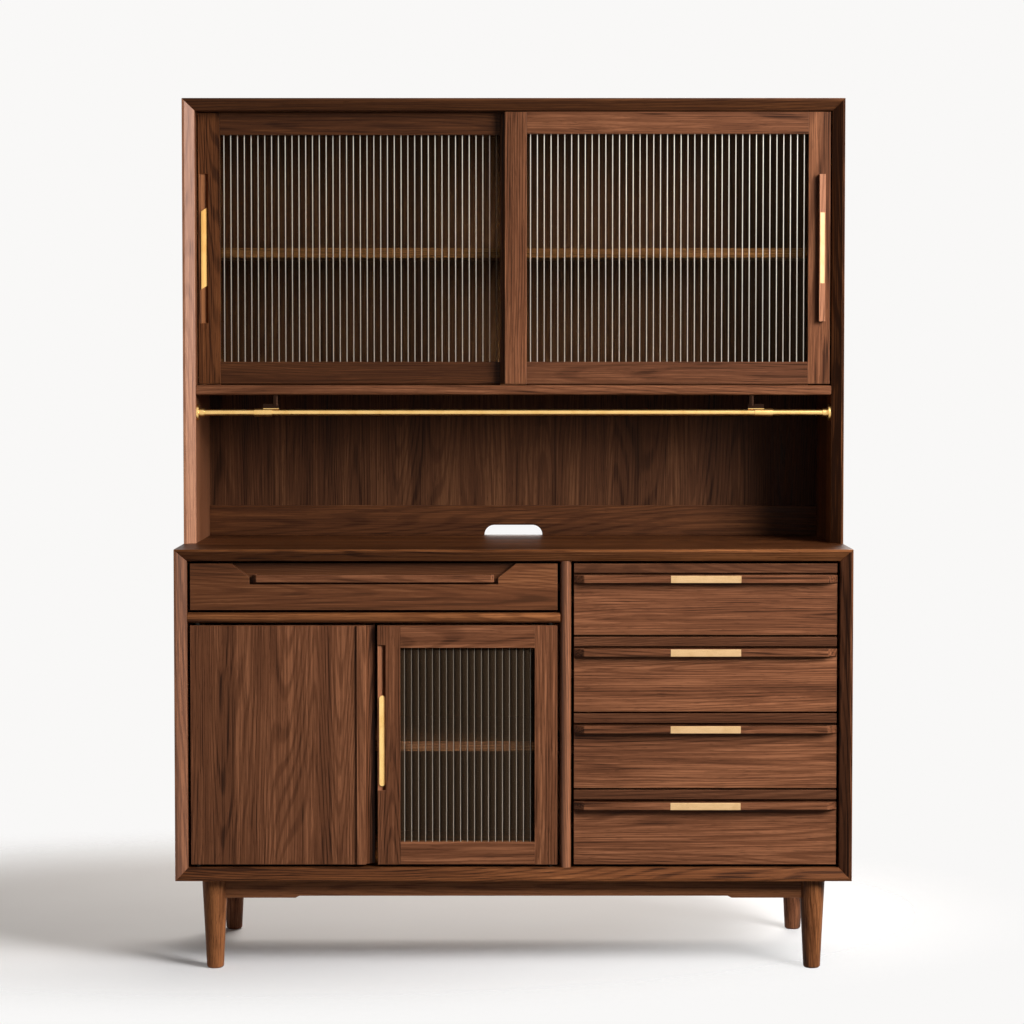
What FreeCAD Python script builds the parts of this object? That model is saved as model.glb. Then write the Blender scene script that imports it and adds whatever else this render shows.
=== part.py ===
import FreeCAD, Part
import math
import os
import Sketcher
from FreeCAD import Placement, Rotation, Vector

# Walnut kitchen dresser: a base case on round legs and a hutch with sliding glass doors above it.
# Millimetres. X points to the viewer's right, the front faces -Y, Z points up.
# The origin is the middle of the floor under the dresser.

SIZES = {
    "base_width": (1350, "outside width of the base and of the hutch"),
    "base_depth": (450, "outside depth of the base case"),
    "leg_height": (182, "floor to the underside of the base case"),
    "case_height": (663, "outside height of the base case"),
    "hutch_height": (908, "hutch above the base case"),
    "hutch_depth": (282, "outside depth of the hutch"),
    "case_panel": (24, "thickness of the case panels"),
    "arris_flat": (5, "flat left at the outer front edge of a case panel"),
    "bevel_depth": (16, "depth of the inward bevel on the front edges"),
    "back_thick": (6, "thickness of both back panels"),
    "back_inset": (8, "wood behind the groove of a back panel"),
    "back_groove": (6, "depth of the grooves that hold the back panels"),
    "edge_play": (0.5, "room between a captive panel and the floor of its groove"),
    "divider_thick": (22, "thickness of the upright divider"),
    "divider_shift": (104, "middle of the divider, right of the centre"),
    "deck_thick": (20, "thickness of the deck under the wide drawer"),
    "deck_round": (9, "rounding of the deck's front edges"),
    "shelf_thick": (20, "thickness of both inner shelves"),
    "shelf_play": (1, "room between a shelf and the panels beside it"),
    "shelf_low": (434, "floor to the underside of the shelf in the base"),
    "shelf_setback": (60, "shelf in the base behind the case front"),
    "upper_shelf_rise": (263, "shelf in the hutch above the hutch bottom panel"),
    "upper_shelf_setback": (82, "shelf in the hutch behind the hutch front"),
    "pin_radius": (2.5, "radius of the shelf pins"),
    "pin_length": (16, "length of a shelf pin, half of it in the panel"),
    "pin_inset": (50, "shelf pins from the front and back edges of a shelf"),
    "front_setback": (22, "faces of doors and drawers behind the case front"),
    "front_thick": (20, "thickness of doors and drawer fronts"),
    "reveal": (5.5, "gap between a front and the case"),
    "drawer_gap": (4, "gap between two drawer fronts"),
    "wide_front_height": (93, "height of the wide drawer's front"),
    "top_front_height": (143, "height of the topmost drawer front at the right"),
    "bar_drop": (23, "drawer front left above its bar"),
    "bar_height": (14.5, "height of a drawer bar"),
    "bar_proud": (16, "depth of a drawer bar from its seat to its face"),
    "bar_lip": (7, "thickness of the lip that the fingers pull"),
    "bar_groove": (9, "depth of the finger groove behind the lip"),
    "front_groove_rise": (4.5, "groove in a drawer front above its bar"),
    "front_groove_depth": (8, "depth of that groove"),
    "bar_end": (20, "length of the bevel at the ends of a full-width bar"),
    "bar_end_thick": (3, "depth of a full-width bar at its very ends"),
    "bar_inlay_length": (140, "length of the brass inlay in a bar"),
    "inlay_sink": (1.5, "depth of the brass inlay in the wood"),
    "inlay_proud": (0.6, "brass inlay in front of the wood"),
    "recess_depth": (15, "depth of the finger recess in the wide drawer"),
    "recess_gap": (4, "finger recess left open below the wide drawer's bar"),
    "recess_top": (284, "half width of the finger recess at its top"),
    "recess_foot": (248, "half width of the finger recess below its slopes"),
    "recess_slope": (28, "height of the slopes of the finger recess"),
    "wide_bar_half": (240, "half length of the wide drawer's bar"),
    "wide_bar_end": (6, "length of the bevel at the ends of the wide drawer's bar"),
    "wide_bar_proud": (20, "depth of the wide drawer's bar from its seat to its face"),
    "box_side_gap": (6, "room between a drawer box and the case"),
    "box_wall": (14, "thickness of the drawer sides"),
    "box_back": (12, "thickness of the drawer backs"),
    "box_floor": (6, "thickness of the drawer bottoms"),
    "box_floor_rise": (8, "drawer side below the drawer bottom"),
    "box_floor_groove": (5, "drawer bottom inside the drawer sides"),
    "box_lift": (16, "drawer box above the lower edge of its front"),
    "box_drop": (20, "drawer box below the upper edge of its front"),
    "box_rear_gap": (18, "room behind a drawer box"),
    "runner_height": (16, "height of a drawer runner"),
    "runner_groove": (7, "depth of the runner groove in a drawer side"),
    "runner_start": (8, "front end of a runner behind the drawer front"),
    "seat_play": (0.3, "room between a moving piece and its seat"),
    "runner_end_play": (0.4, "room between a runner and the floor of its groove"),
    "door_meeting": (6, "gap between the two hinged doors"),
    "glass_door_width": (359, "width of the hinged glass door"),
    "stile_width": (45, "width of door stiles and rails"),
    "glass_groove_width": (6.2, "width of the grooves that hold the glass"),
    "glass_groove_depth": (10, "depth of the grooves that hold the glass"),
    "tenon_shoulder": (8, "shoulder at the outer edge of a stub tenon"),
    "glass_thick": (3.3, "plate of the fluted glass"),
    "flute_rise": (2.2, "height of a flute above the plate"),
    "flute_pitch": (14, "distance between two flutes"),
    "flute_gap": (0.6, "flat left between two flutes"),
    "glass_play": (1, "room between the glass and the floor of a side groove"),
    "grip_width": (36, "width of the solid door's grip stile"),
    "grip_proud": (4, "grip stile in front of the door panel"),
    "grip_face": (18, "flat face of the grip stile"),
    "grip_edge": (1, "flat left between the cove and the edge of the grip stile"),
    "grip_tongue": (8, "length of the tongue between panel and grip stile"),
    "grip_tongue_thick": (6, "thickness of that tongue"),
    "pivot_inset": (14, "door pivots from the hinge edge of a door"),
    "pivot_radius": (3, "radius of a pivot pin"),
    "pivot_play": (0.05, "room around a pivot pin"),
    "pivot_length": (10, "pivot pin inside the panel and inside the door"),
    "collar_radius": (6, "radius of the collar of a pivot pin"),
    "scoop_width": (16, "width of the finger rebate on the glass door's edge"),
    "scoop_depth": (9.5, "depth of that rebate at its inner wall"),
    "scoop_shallow": (2.5, "depth of that rebate at the door's edge"),
    "scoop_rise": (149, "lower end of that rebate above the door's lower edge"),
    "scoop_length": (292, "length of that rebate"),
    "edge_pull_width": (12, "width of the brass pull on the glass door"),
    "edge_pull_length": (182, "length of the brass pull on the glass door"),
    "edge_pull_thick": (3, "thickness of that pull at its left edge"),
    "edge_pull_set": (5.5, "right edge of that pull behind the door's face"),
    "edge_pull_rise": (157, "lower end of that pull above the door's lower edge"),
    "edge_pull_inset": (3, "brass pull from the glass door's edge"),
    "niche_height": (304, "counter to the underside of the hutch bottom panel"),
    "hutch_floor_thick": (20, "thickness of the hutch bottom panel"),
    "floor_round": (5, "rounding of the front edges of the hutch bottom panel"),
    "slider_setback": (20, "front sliding door behind the hutch front"),
    "slider_gap": (6, "room between the two sliding doors"),
    "slider_overlap": (36, "overlap of the two sliding doors"),
    "slider_end_gap": (3, "room between a sliding door and the hutch side"),
    "slider_rise": (3, "sliding doors above the hutch bottom panel"),
    "slider_top_gap": (2, "sliding doors below the hutch top panel"),
    "tongue_thick": (7.4, "thickness of the tongues that run in the tracks"),
    "track_width": (8, "width of the tracks"),
    "lower_track": (6, "depth of the lower tracks"),
    "upper_track": (12, "depth of the upper tracks"),
    "upper_tongue": (7.5, "upper tongue above the upper edge of a sliding door"),
    "pull_length": (300, "length of the pull bar on the right sliding door"),
    "pull_width": (13, "width of that pull bar"),
    "pull_proud": (15, "depth of that pull bar"),
    "pull_cant": (6, "right edge of that pull bar's canted face behind its left edge"),
    "pull_inset": (17.5, "middle of that pull bar from the door's edge"),
    "pull_inlay_width": (10, "width of the brass inlay in the pull bar"),
    "pull_inlay_length": (144, "length of the brass inlay in the pull bar"),
    "pull_inlay_ridge": (1.4, "ridge of that inlay in front of the wood"),
    "slot_width": (17, "width of the flush slot in the left sliding door"),
    "slot_length": (306, "length of that flush slot"),
    "slot_depth": (8, "depth of that flush slot at its right wall"),
    "slot_shallow": (2, "depth of that flush slot at its left wall"),
    "slot_inset": (12, "middle of that flush slot from the door's edge"),
    "slot_inlay_width": (12, "width of the brass inlay in the flush slot"),
    "slot_inlay_length": (168, "length of the brass inlay in the flush slot"),
    "slot_inlay_slant": (8, "slant at the ends of that inlay"),
    "slot_inlay_fall": (1, "fall of that inlay from its left edge to its crease"),
    "slot_inlay_set": (4.5, "right edge of that inlay behind the door's face"),
    "upstand_height": (64, "height of the upstand board"),
    "upstand_thick": (20, "thickness of the upstand board"),
    "outlet_width": (124, "width of the cable outlet"),
    "outlet_height": (22, "height of the cable outlet"),
    "outlet_round": (21, "rounding of the upper corners of the cable outlet"),
    "rod_radius": (6.5, "radius of the brass rail"),
    "rod_play": (0.05, "room around the rail in its fittings"),
    "rod_drop": (36, "rail axis below the hutch bottom panel"),
    "rod_setback": (34, "rail axis behind the hutch front"),
    "flange_radius": (16.5, "radius of the rail's end flanges"),
    "flange_thick": (5, "thickness of the end flanges"),
    "neck_radius": (8.5, "radius of the neck of an end flange"),
    "neck_length": (11, "length of that neck"),
    "hanger_inset": (162, "hanger stems from the hutch sides"),
    "stem_radius": (7, "radius of a hanger stem"),
    "stem_clear": (7, "hanger stem above the rail"),
    "collar_outer": (8.25, "outer radius of a hanger's collar"),
    "collar_start": (7, "collar from the axis of its stem"),
    "collar_length": (37, "length of a hanger's collar"),
    "web_half": (4, "half thickness of the web between stem and collar"),
    "web_clear": (0.5, "web of a hanger above the rail"),
    "leg_inset_side": (75, "leg axes from the case sides"),
    "leg_inset_front": (42, "leg axes from the case front and back"),
    "leg_top_radius": (26, "radius of a leg at its top"),
    "leg_foot_radius": (17, "radius of a leg at its foot"),
    "foot_ease": (3, "eased edge of a foot"),
    "apron_height": (40, "height of the aprons"),
    "apron_thick": (20, "thickness of the aprons"),
    "apron_relief": (4, "relief of the lower edge of the front and rear aprons"),
    "apron_shoulder": (162, "full-height part of an apron, from the leg axis"),
    "apron_slant": (8, "length of the slant at each end of the relief"),
    "apron_seat": (11, "end of an apron inside a leg, from the leg axis"),
}

# How far a cutting shape reaches past the piece that it cuts.
PAST = 1


class Size:
    """A length made of the sheet's cells: its number now, and the expression that binds a piece to it."""

    def __init__(self, number, text):
        self.number = number
        self.text = text

    def __add__(self, other):
        other = as_size(other)
        return Size(self.number + other.number, f"({self.text} + {other.text})")

    def __radd__(self, other):
        return as_size(other) + self

    def __sub__(self, other):
        other = as_size(other)
        return Size(self.number - other.number, f"({self.text} - {other.text})")

    def __rsub__(self, other):
        return as_size(other) - self

    def __mul__(self, factor):
        factor = as_size(factor)
        return Size(self.number * factor.number, f"({self.text} * {factor.text})")

    def __truediv__(self, factor):
        factor = as_size(factor)
        return Size(self.number / factor.number, f"({self.text} / {factor.text})")

    def __neg__(self):
        return Size(-self.number, f"(0 - {self.text})")


def as_size(amount):
    """A plain number as a Size; a Size as it is."""
    if isinstance(amount, Size):
        return amount
    return Size(amount, f"({amount})")


def span(one, other):
    """Two places on an axis, the lower one first."""
    return (one, other) if one.number < other.number else (other, one)


doc = FreeCAD.newDocument("kitchen_dresser")
sheet = doc.addObject("Spreadsheet::Sheet", "Sizes")
for row, (alias, (amount, note)) in enumerate(SIZES.items(), start=1):
    sheet.set(f"A{row}", alias)
    sheet.set(f"B{row}", str(amount))
    sheet.setAlias(f"B{row}", alias)
    sheet.set(f"C{row}", note)
doc.recompute()


class Named:
    """The sheet's cells by name, each as a Size."""

    def __getattr__(self, alias):
        return Size(float(sheet.get(alias)), f"Sizes.{alias}")


size = Named()
nodes = {}


def bind(piece, property_path, length):
    """Keeps one property of a piece equal to a Size."""
    piece.setExpression(property_path, as_size(length).text)


def keep(piece):
    """Lists a finished sub-part under its label."""
    nodes[piece.Label] = piece
    return piece


def add(kind, label):
    """A new document object with its label."""
    piece = doc.addObject(kind, label)
    piece.Label = label
    return piece


def block(label, x, y, z):
    """A board with square edges between a low and a high coordinate on each axis."""
    piece = add("Part::Box", label)
    for (low, high), extent, axis in ((x, "Length", "x"), (y, "Width", "y"), (z, "Height", "z")):
        bind(piece, extent, as_size(high) - low)
        bind(piece, f"Placement.Base.{axis}", low)
    return piece


def round_bar(label, axis, centre, radius, low, high):
    """A cylinder along an axis between two coordinates; centre holds the other two in the axes' order."""
    piece = add("Part::Cylinder", label)
    bind(piece, "Radius", radius)
    bind(piece, "Height", as_size(high) - low)
    turns = {"x": Rotation(Vector(0, 1, 0), 90), "y": Rotation(Vector(1, 0, 0), -90), "z": Rotation()}
    piece.Placement = Placement(Vector(), turns[axis])
    others = [name for name in "xyz" if name != axis]
    bind(piece, f"Placement.Base.{axis}", low)
    bind(piece, f"Placement.Base.{others[0]}", centre[0])
    bind(piece, f"Placement.Base.{others[1]}", centre[1])
    return piece


def origin_part(body, role):
    """A plane or axis of a body's own origin."""
    for feature in body.Origin.OriginFeatures:
        if feature.Role == role:
            return feature
    raise ValueError(role)


def draw(body, name, plane, path, offset):
    """A closed sketch on a plane of the body. A corner of four sizes starts an arc about its last two."""
    sketch = body.newObject("Sketcher::SketchObject", name)
    sketch.AttachmentSupport = [(origin_part(body, plane), "")]
    sketch.MapMode = "FlatFace"
    bind(sketch, "AttachmentOffset.Base.z", offset)
    corners = [[as_size(part) for part in corner] for corner in path]
    ends = []
    for index, corner in enumerate(corners):
        after = corners[(index + 1) % len(corners)]
        start = Vector(corner[0].number, corner[1].number, 0)
        stop = Vector(after[0].number, after[1].number, 0)
        if len(corner) == 2:
            sketch.addGeometry(Part.LineSegment(start, stop))
            ends.append((1, 2))
            continue
        centre = Vector(corner[2].number, corner[3].number, 0)
        first = math.atan2(start.y - centre.y, start.x - centre.x)
        last = math.atan2(stop.y - centre.y, stop.x - centre.x)
        circle = Part.Circle(centre, Vector(0, 0, 1), (start - centre).Length)
        anticlockwise = (last - first) % (2 * math.pi) < math.pi
        if anticlockwise:
            sketch.addGeometry(Part.ArcOfCircle(circle, first, last))
            ends.append((1, 2))
        else:
            sketch.addGeometry(Part.ArcOfCircle(circle, last, first))
            ends.append((2, 1))
    for index, corner in enumerate(corners):
        before = index - 1 if index else len(corners) - 1
        joint = Sketcher.Constraint("Coincident", before, ends[before][1], index, ends[index][0])
        sketch.addConstraint(joint)
        for kind, place in (("DistanceX", corner[0]), ("DistanceY", corner[1])):
            held = Sketcher.Constraint(kind, -1, 1, index, ends[index][0], place.number)
            number = sketch.addConstraint(held)
            bind(sketch, f"Constraints[{number}]", place)
        if len(corner) == 4:
            held = Sketcher.Constraint("DistanceX", -1, 1, index, 3, corner[2].number)
            number = sketch.addConstraint(held)
            bind(sketch, f"Constraints[{number}]", corner[2])
    return sketch


def pad(body, name, plane, path, low, high):
    """Pads an outline between two coordinates on the axis across its plane."""
    # The normal of the XZ plane points to -Y, so that sketch starts at the high end.
    offset = -as_size(high) if plane == "XZ_Plane" else low
    feature = body.newObject("PartDesign::Pad", name)
    feature.Profile = draw(body, f"{name}_outline", plane, path, offset)
    bind(feature, "Length", as_size(high) - low)
    return feature


def moulding(label, plane, path, low, high):
    """A body with one constant section between two coordinates."""
    body = add("PartDesign::Body", label)
    body.Tip = pad(body, f"{label}_pad", plane, path, low, high)
    return body


def turned(label, path, axis_role, plane):
    """A body turned about an axis of its own origin."""
    body = add("PartDesign::Body", label)
    feature = body.newObject("PartDesign::Revolution", f"{label}_turning")
    feature.Profile = draw(body, f"{label}_outline", plane, path, 0)
    feature.ReferenceAxis = (origin_part(body, axis_role), [""])
    feature.Angle = 360
    body.Tip = feature
    return body


def group(label, pieces):
    """Separate solids under one label."""
    piece = add("Part::Compound", label)
    piece.Links = pieces
    return piece


def cut(label, base, tools):
    """A piece with one or more shapes taken out of it."""
    piece = add("Part::Cut", label)
    piece.Base = base
    piece.Tool = tools[0] if len(tools) == 1 else group(f"{label}_tools", tools)
    return piece


def shared(label, first, second):
    """What two shapes have in common."""
    piece = add("Part::Common", label)
    piece.Base = first
    piece.Tool = second
    return piece


def fused(label, pieces):
    """Several shapes joined into one solid."""
    piece = add("Part::MultiFuse", label)
    piece.Shapes = pieces
    return piece


# Planes of the case that everything else is placed from.
half = size.base_width / 2
front = -size.base_depth / 2
back = size.base_depth / 2
case_low = size.leg_height
counter = size.leg_height + size.case_height
inner = half - size.case_panel
inner_low = case_low + size.case_panel
inner_high = counter - size.case_panel
hutch_front = back - size.hutch_depth
hutch_high = counter + size.hutch_height
hutch_inner_high = hutch_high - size.case_panel
back_face = back - size.back_inset - size.back_thick
back_rear = back - size.back_inset
divider_left = size.divider_shift - size.divider_thick / 2
divider_right = size.divider_shift + size.divider_thick / 2
nose = front + size.bevel_depth
deck_high = inner_high - size.reveal * 2 - size.wide_front_height
deck_low = deck_high - size.deck_thick
door_low = inner_low + size.reveal
door_high = deck_low - size.reveal
face = front + size.front_setback
face_rear = face + size.front_thick
hutch_floor_low = counter + size.niche_height
hutch_floor_high = hutch_floor_low + size.hutch_floor_thick


def upright_section(side, start):
    """Plan of a case side with its front bevel and back groove; side is -1 at the left and 1 at the right."""
    outer = half * side
    inside = inner * side
    groove = (inner + size.back_groove) * side
    return [
        (outer, back),
        (outer, start),
        ((half - size.arris_flat) * side, start),
        (inside, start + size.bevel_depth),
        (inside, back_face),
        (groove, back_face),
        (groove, back_rear),
        (inside, back_rear),
        (inside, back),
    ]


def level_section(outer, side, start, tracks):
    """Section of a top or bottom case panel; side is 1 for a panel above the room inside and -1 below it."""
    inside = outer - size.case_panel * side
    groove = inside + size.back_groove * side
    track_floor = inside + size.upper_track * side
    path = [
        (back, outer),
        (start, outer),
        (start, outer - size.arris_flat * side),
        (start + size.bevel_depth, inside),
    ]
    for middle in tracks:
        path.append((middle - size.track_width / 2, inside))
        path.append((middle - size.track_width / 2, track_floor))
        path.append((middle + size.track_width / 2, track_floor))
        path.append((middle + size.track_width / 2, inside))
    path += [(back_face, inside), (back_face, groove), (back_rear, groove), (back_rear, inside)]
    path.append((back, inside))
    return path


def mitred_upright(label, side, start, low, high, mitre_low):
    """A case side with its ends mitred to the panels above and, where there is one, below it."""
    blank = moulding(f"{label}_blank", "XY_Plane", upright_section(side, start), low, high)
    inside = inner * side
    outer = half * side
    low_inside = low + size.case_panel if mitre_low else low
    ends = [(outer, low), (outer, high), (inside, high - size.case_panel), (inside, low_inside)]
    trim = moulding(f"{label}_mitre", "XZ_Plane", ends, start - PAST, back + PAST)
    return shared(f"{label}_mitred", blank, trim)


def mitred_level(label, outer, side, start, tracks):
    """A top or bottom case panel with both ends mitred."""
    blank = moulding(f"{label}_blank", "YZ_Plane", level_section(outer, side, start, tracks), -half, half)
    inside = outer - size.case_panel * side
    ends = [(-half, outer), (half, outer), (inner, inside), (-inner, inside)]
    trim = moulding(f"{label}_mitre", "XZ_Plane", ends, start - PAST, back + PAST)
    return shared(f"{label}_mitred", blank, trim)


def finish(label, piece):
    """Gives a finished shape the name of its node."""
    piece.Label = label
    return keep(piece)


# Shelf pins: two in each panel beside a shelf, with their holes.
shelf_front = front + size.shelf_setback
upper_shelf_front = hutch_front + size.upper_shelf_setback
shelf_back = back_face - size.shelf_play * 2
pin_middle = size.shelf_low - size.pin_radius
upper_shelf_low = hutch_floor_high + size.upper_shelf_rise
upper_pin_middle = upper_shelf_low - size.pin_radius
pins = []


def pin_holes(label, wall, outward, start, middle):
    """Drills for two shelf pins in a wall, and the pins; outward is the way from the wall into the room."""
    holes = []
    for place, along in (("front", start + size.pin_inset), ("rear", shelf_back - size.pin_inset)):
        reach = size.pin_length / 2
        into_wall = (wall - reach, wall) if outward > 0 else (wall, wall + reach)
        whole = (wall - reach, wall + reach)
        holes.append(round_bar(f"{label}_hole_{place}", "x", (along, middle), size.pin_radius, *into_wall))
        pins.append(round_bar(f"{label}_pin_{place}", "x", (along, middle), size.pin_radius, *whole))
    return holes


# Door pivots: a pin with a collar in the bottom panel and in the deck for each hinged door.
pivot_y = face + size.front_thick / 2
solid_pivot_x = size.pivot_inset + size.reveal - inner
glass_pivot_x = divider_left - size.reveal - size.pivot_inset
pivots = []
hole_radius = size.pivot_radius + size.pivot_play
hole_length = size.pivot_length + size.edge_play


def pivot_hole(label, x, low, high):
    """A drill for a pivot pin."""
    return round_bar(label, "z", (x, pivot_y), hole_radius, low, high)


def pivot_pin(label, x, panel_face, way):
    """A pin in a panel that carries a door on its collar; way is 1 when the door is above the panel."""
    collar = size.reveal - size.seat_play
    profile = [
        (0, -size.pivot_length * way),
        (size.pivot_radius, -size.pivot_length * way),
        (size.pivot_radius, 0),
        (size.collar_radius, 0),
        (size.collar_radius, collar * way),
        (size.pivot_radius, collar * way),
        (size.pivot_radius, (size.reveal + size.pivot_length) * way),
        (0, (size.reveal + size.pivot_length) * way),
    ]
    body = turned(label, profile, "Z_Axis", "XZ_Plane")
    bind(body, "Placement.Base.x", x)
    bind(body, "Placement.Base.y", pivot_y)
    bind(body, "Placement.Base.z", panel_face)
    return body


for door, door_x in (("solid_door", solid_pivot_x), ("glass_door", glass_pivot_x)):
    pivots.append(pivot_pin(f"{door}_lower_pin", door_x, inner_low, 1))
    pivots.append(pivot_pin(f"{door}_upper_pin", door_x, deck_low, -1))
keep(group("door_pivot_pins", pivots))

# Base case.
finish("base_top_panel", mitred_level("base_top", counter, 1, front, []))
bottom_holes = [
    pivot_hole("bottom_hole_solid", solid_pivot_x, inner_low - hole_length, inner_low),
    pivot_hole("bottom_hole_glass", glass_pivot_x, inner_low - hole_length, inner_low),
]
keep(cut("base_bottom_panel", mitred_level("base_bottom", case_low, -1, front, []), bottom_holes))
left_holes = pin_holes("base_left", -inner, 1, shelf_front, pin_middle)
keep(cut("base_side_left", mitred_upright("base_left", -1, front, case_low, counter, True), left_holes))
finish("base_side_right", mitred_upright("base_right", 1, front, case_low, counter, True))
back_reach = inner + size.back_groove - size.edge_play
base_back_z = (inner_low - size.back_groove, inner_high + size.back_groove - size.edge_play)
keep(block("base_back_panel", (-back_reach, back_reach), (back_face, back_rear), base_back_z))

nose_radius = size.divider_thick / 2
divider_plan = [
    (divider_right, back_face),
    (divider_left, back_face),
    (divider_left, nose + nose_radius, size.divider_shift, nose + nose_radius),
    (size.divider_shift, nose, size.divider_shift, nose + nose_radius),
    (divider_right, nose + nose_radius),
]
divider_blank = moulding("divider_blank", "XY_Plane", divider_plan, inner_low, inner_high)
divider_holes = pin_holes("divider", divider_left, -1, shelf_front, pin_middle)
keep(cut("base_divider", divider_blank, divider_holes))


def rounded_board(start, stop, low, high, radius, tracks, depth):
    """Section of a level board with two rounded front edges and tracks in its upper face."""
    path = [
        (stop, low),
        (start + radius, low, start + radius, low + radius),
        (start, low + radius),
        (start, high - radius, start + radius, high - radius),
        (start + radius, high),
    ]
    for middle in tracks:
        path.append((middle - size.track_width / 2, high))
        path.append((middle - size.track_width / 2, high - depth))
        path.append((middle + size.track_width / 2, high - depth))
        path.append((middle + size.track_width / 2, high))
    path.append((stop, high))
    return path


deck_section = rounded_board(nose, back_face, deck_low, deck_high, size.deck_round, [], 0)
deck_blank = moulding("deck_blank", "YZ_Plane", deck_section, -inner, divider_left)
deck_holes = [
    pivot_hole("deck_hole_solid", solid_pivot_x, deck_low, deck_low + hole_length),
    pivot_hole("deck_hole_glass", glass_pivot_x, deck_low, deck_low + hole_length),
]
keep(cut("drawer_deck", deck_blank, deck_holes))
base_shelf_x = (size.shelf_play - inner, divider_left - size.shelf_play)
base_shelf_z = (size.shelf_low, size.shelf_low + size.shelf_thick)
keep(block("base_shelf", base_shelf_x, (shelf_front, shelf_back), base_shelf_z))

# Legs and aprons; the apron ends sit in housings cut into the legs.
leg_x = half - size.leg_inset_side
leg_y = size.base_depth / 2 - size.leg_inset_front
apron_low = case_low - size.apron_height
apron_half = size.apron_thick / 2


def leg(label, side, end):
    """A round tapered leg with a housing for the long apron and one for the side apron."""
    profile = [
        (0, 0),
        (size.leg_foot_radius - size.foot_ease, 0),
        (size.leg_foot_radius, size.foot_ease),
        (size.leg_top_radius, size.leg_height),
        (0, size.leg_height),
    ]
    blank = turned(f"{label}_blank", profile, "Z_Axis", "XZ_Plane")
    bind(blank, "Placement.Base.x", leg_x * side)
    bind(blank, "Placement.Base.y", leg_y * end)
    reach = size.leg_top_radius + PAST
    long_seat = span((leg_x - reach) * side, (leg_x - size.apron_seat) * side)
    side_seat = span((leg_y - reach) * end, (leg_y - size.apron_seat) * end)
    heights = (apron_low, case_low + PAST)
    across_long = (leg_y * end - apron_half, leg_y * end + apron_half)
    across_side = (leg_x * side - apron_half, leg_x * side + apron_half)
    housings = [
        block(f"{label}_long_housing", long_seat, across_long, heights),
        block(f"{label}_side_housing", across_side, side_seat, heights),
    ]
    return cut(label, blank, housings)


def long_apron(label, end):
    """The front or the rear apron, with the middle of its lower edge relieved."""
    reach = leg_x - size.apron_seat
    shoulder = leg_x - size.apron_shoulder
    relieved = apron_low + size.apron_relief
    path = [
        (-reach, case_low),
        (-reach, apron_low),
        (-shoulder, apron_low),
        (size.apron_slant - shoulder, relieved),
        (shoulder - size.apron_slant, relieved),
        (shoulder, apron_low),
        (reach, apron_low),
        (reach, case_low),
    ]
    return moulding(label, "XZ_Plane", path, leg_y * end - apron_half, leg_y * end + apron_half)


def side_apron(label, side):
    """An apron between a front and a rear leg."""
    reach = leg_y - size.apron_seat
    across = (leg_x * side - apron_half, leg_x * side + apron_half)
    return block(label, across, (-reach, reach), (apron_low, case_low))


keep(group("front_legs", [leg("leg_front_left", -1, -1), leg("leg_front_right", 1, -1)]))
keep(group("rear_legs", [leg("leg_rear_left", -1, 1), leg("leg_rear_right", 1, 1)]))
keep(long_apron("apron_front", -1))
keep(long_apron("apron_rear", 1))
keep(group("apron_sides", [side_apron("apron_left", -1), side_apron("apron_right", 1)]))

# Hutch.
front_track = hutch_front + size.slider_setback + size.front_thick / 2
rear_track = front_track + size.front_thick + size.slider_gap
tracks = [front_track, rear_track]
finish("hutch_top_panel", mitred_level("hutch_top", hutch_high, 1, hutch_front, tracks))
hutch_left_holes = pin_holes("hutch_left", -inner, 1, upper_shelf_front, upper_pin_middle)
hutch_left_blank = mitred_upright("hutch_left", -1, hutch_front, counter, hutch_high, False)
keep(cut("hutch_side_left", hutch_left_blank, hutch_left_holes))
hutch_right_holes = pin_holes("hutch_right", inner, -1, upper_shelf_front, upper_pin_middle)
hutch_right_blank = mitred_upright("hutch_right", 1, hutch_front, counter, hutch_high, False)
keep(cut("hutch_side_right", hutch_right_blank, hutch_right_holes))
floor_section = rounded_board(
    hutch_front + size.bevel_depth, back_face, hutch_floor_low, hutch_floor_high,
    size.floor_round, tracks, size.lower_track)
keep(moulding("hutch_bottom_panel", "YZ_Plane", floor_section, -inner, inner))

upstand_high = counter + size.upstand_height
hutch_back_z = (upstand_high - size.back_groove, hutch_inner_high + size.back_groove - size.edge_play)
keep(block("hutch_back_panel", (-back_reach, back_reach), (back_face, back_rear), hutch_back_z))
outlet = size.outlet_width / 2
outlet_high = counter + size.outlet_height
upstand_path = [
    (-inner, counter),
    (-outlet, counter),
    (-outlet, outlet_high - size.outlet_round, size.outlet_round - outlet, outlet_high - size.outlet_round),
    (size.outlet_round - outlet, outlet_high),
    (outlet - size.outlet_round, outlet_high, outlet - size.outlet_round, outlet_high - size.outlet_round),
    (outlet, outlet_high - size.outlet_round),
    (outlet, counter),
    (inner, counter),
    (inner, upstand_high),
    (-inner, upstand_high),
]
upstand_blank = moulding("upstand_blank", "XZ_Plane", upstand_path, back - size.upstand_thick, back)
upstand_groove_z = (upstand_high - size.back_groove, upstand_high + PAST)
upstand_groove_x = (-inner - PAST, inner + PAST)
upstand_groove = block("upstand_groove", upstand_groove_x, (back_face, back_rear), upstand_groove_z)
keep(cut("hutch_upstand", upstand_blank, [upstand_groove]))
upper_shelf_x = (size.shelf_play - inner, inner - size.shelf_play)
upper_shelf_z = (upper_shelf_low, upper_shelf_low + size.shelf_thick)
keep(block("hutch_shelf", upper_shelf_x, (upper_shelf_front, shelf_back), upper_shelf_z))
keep(group("shelf_pins", pins))

# Brass rail under the hutch.
rod_y = hutch_front + size.rod_setback
rod_z = hutch_floor_low - size.rod_drop
rod_bore = size.rod_radius + size.rod_play
rod_end = inner - size.edge_play
keep(round_bar("rail_rod", "x", (rod_y, rod_z), size.rod_radius, -rod_end, rod_end))


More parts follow.
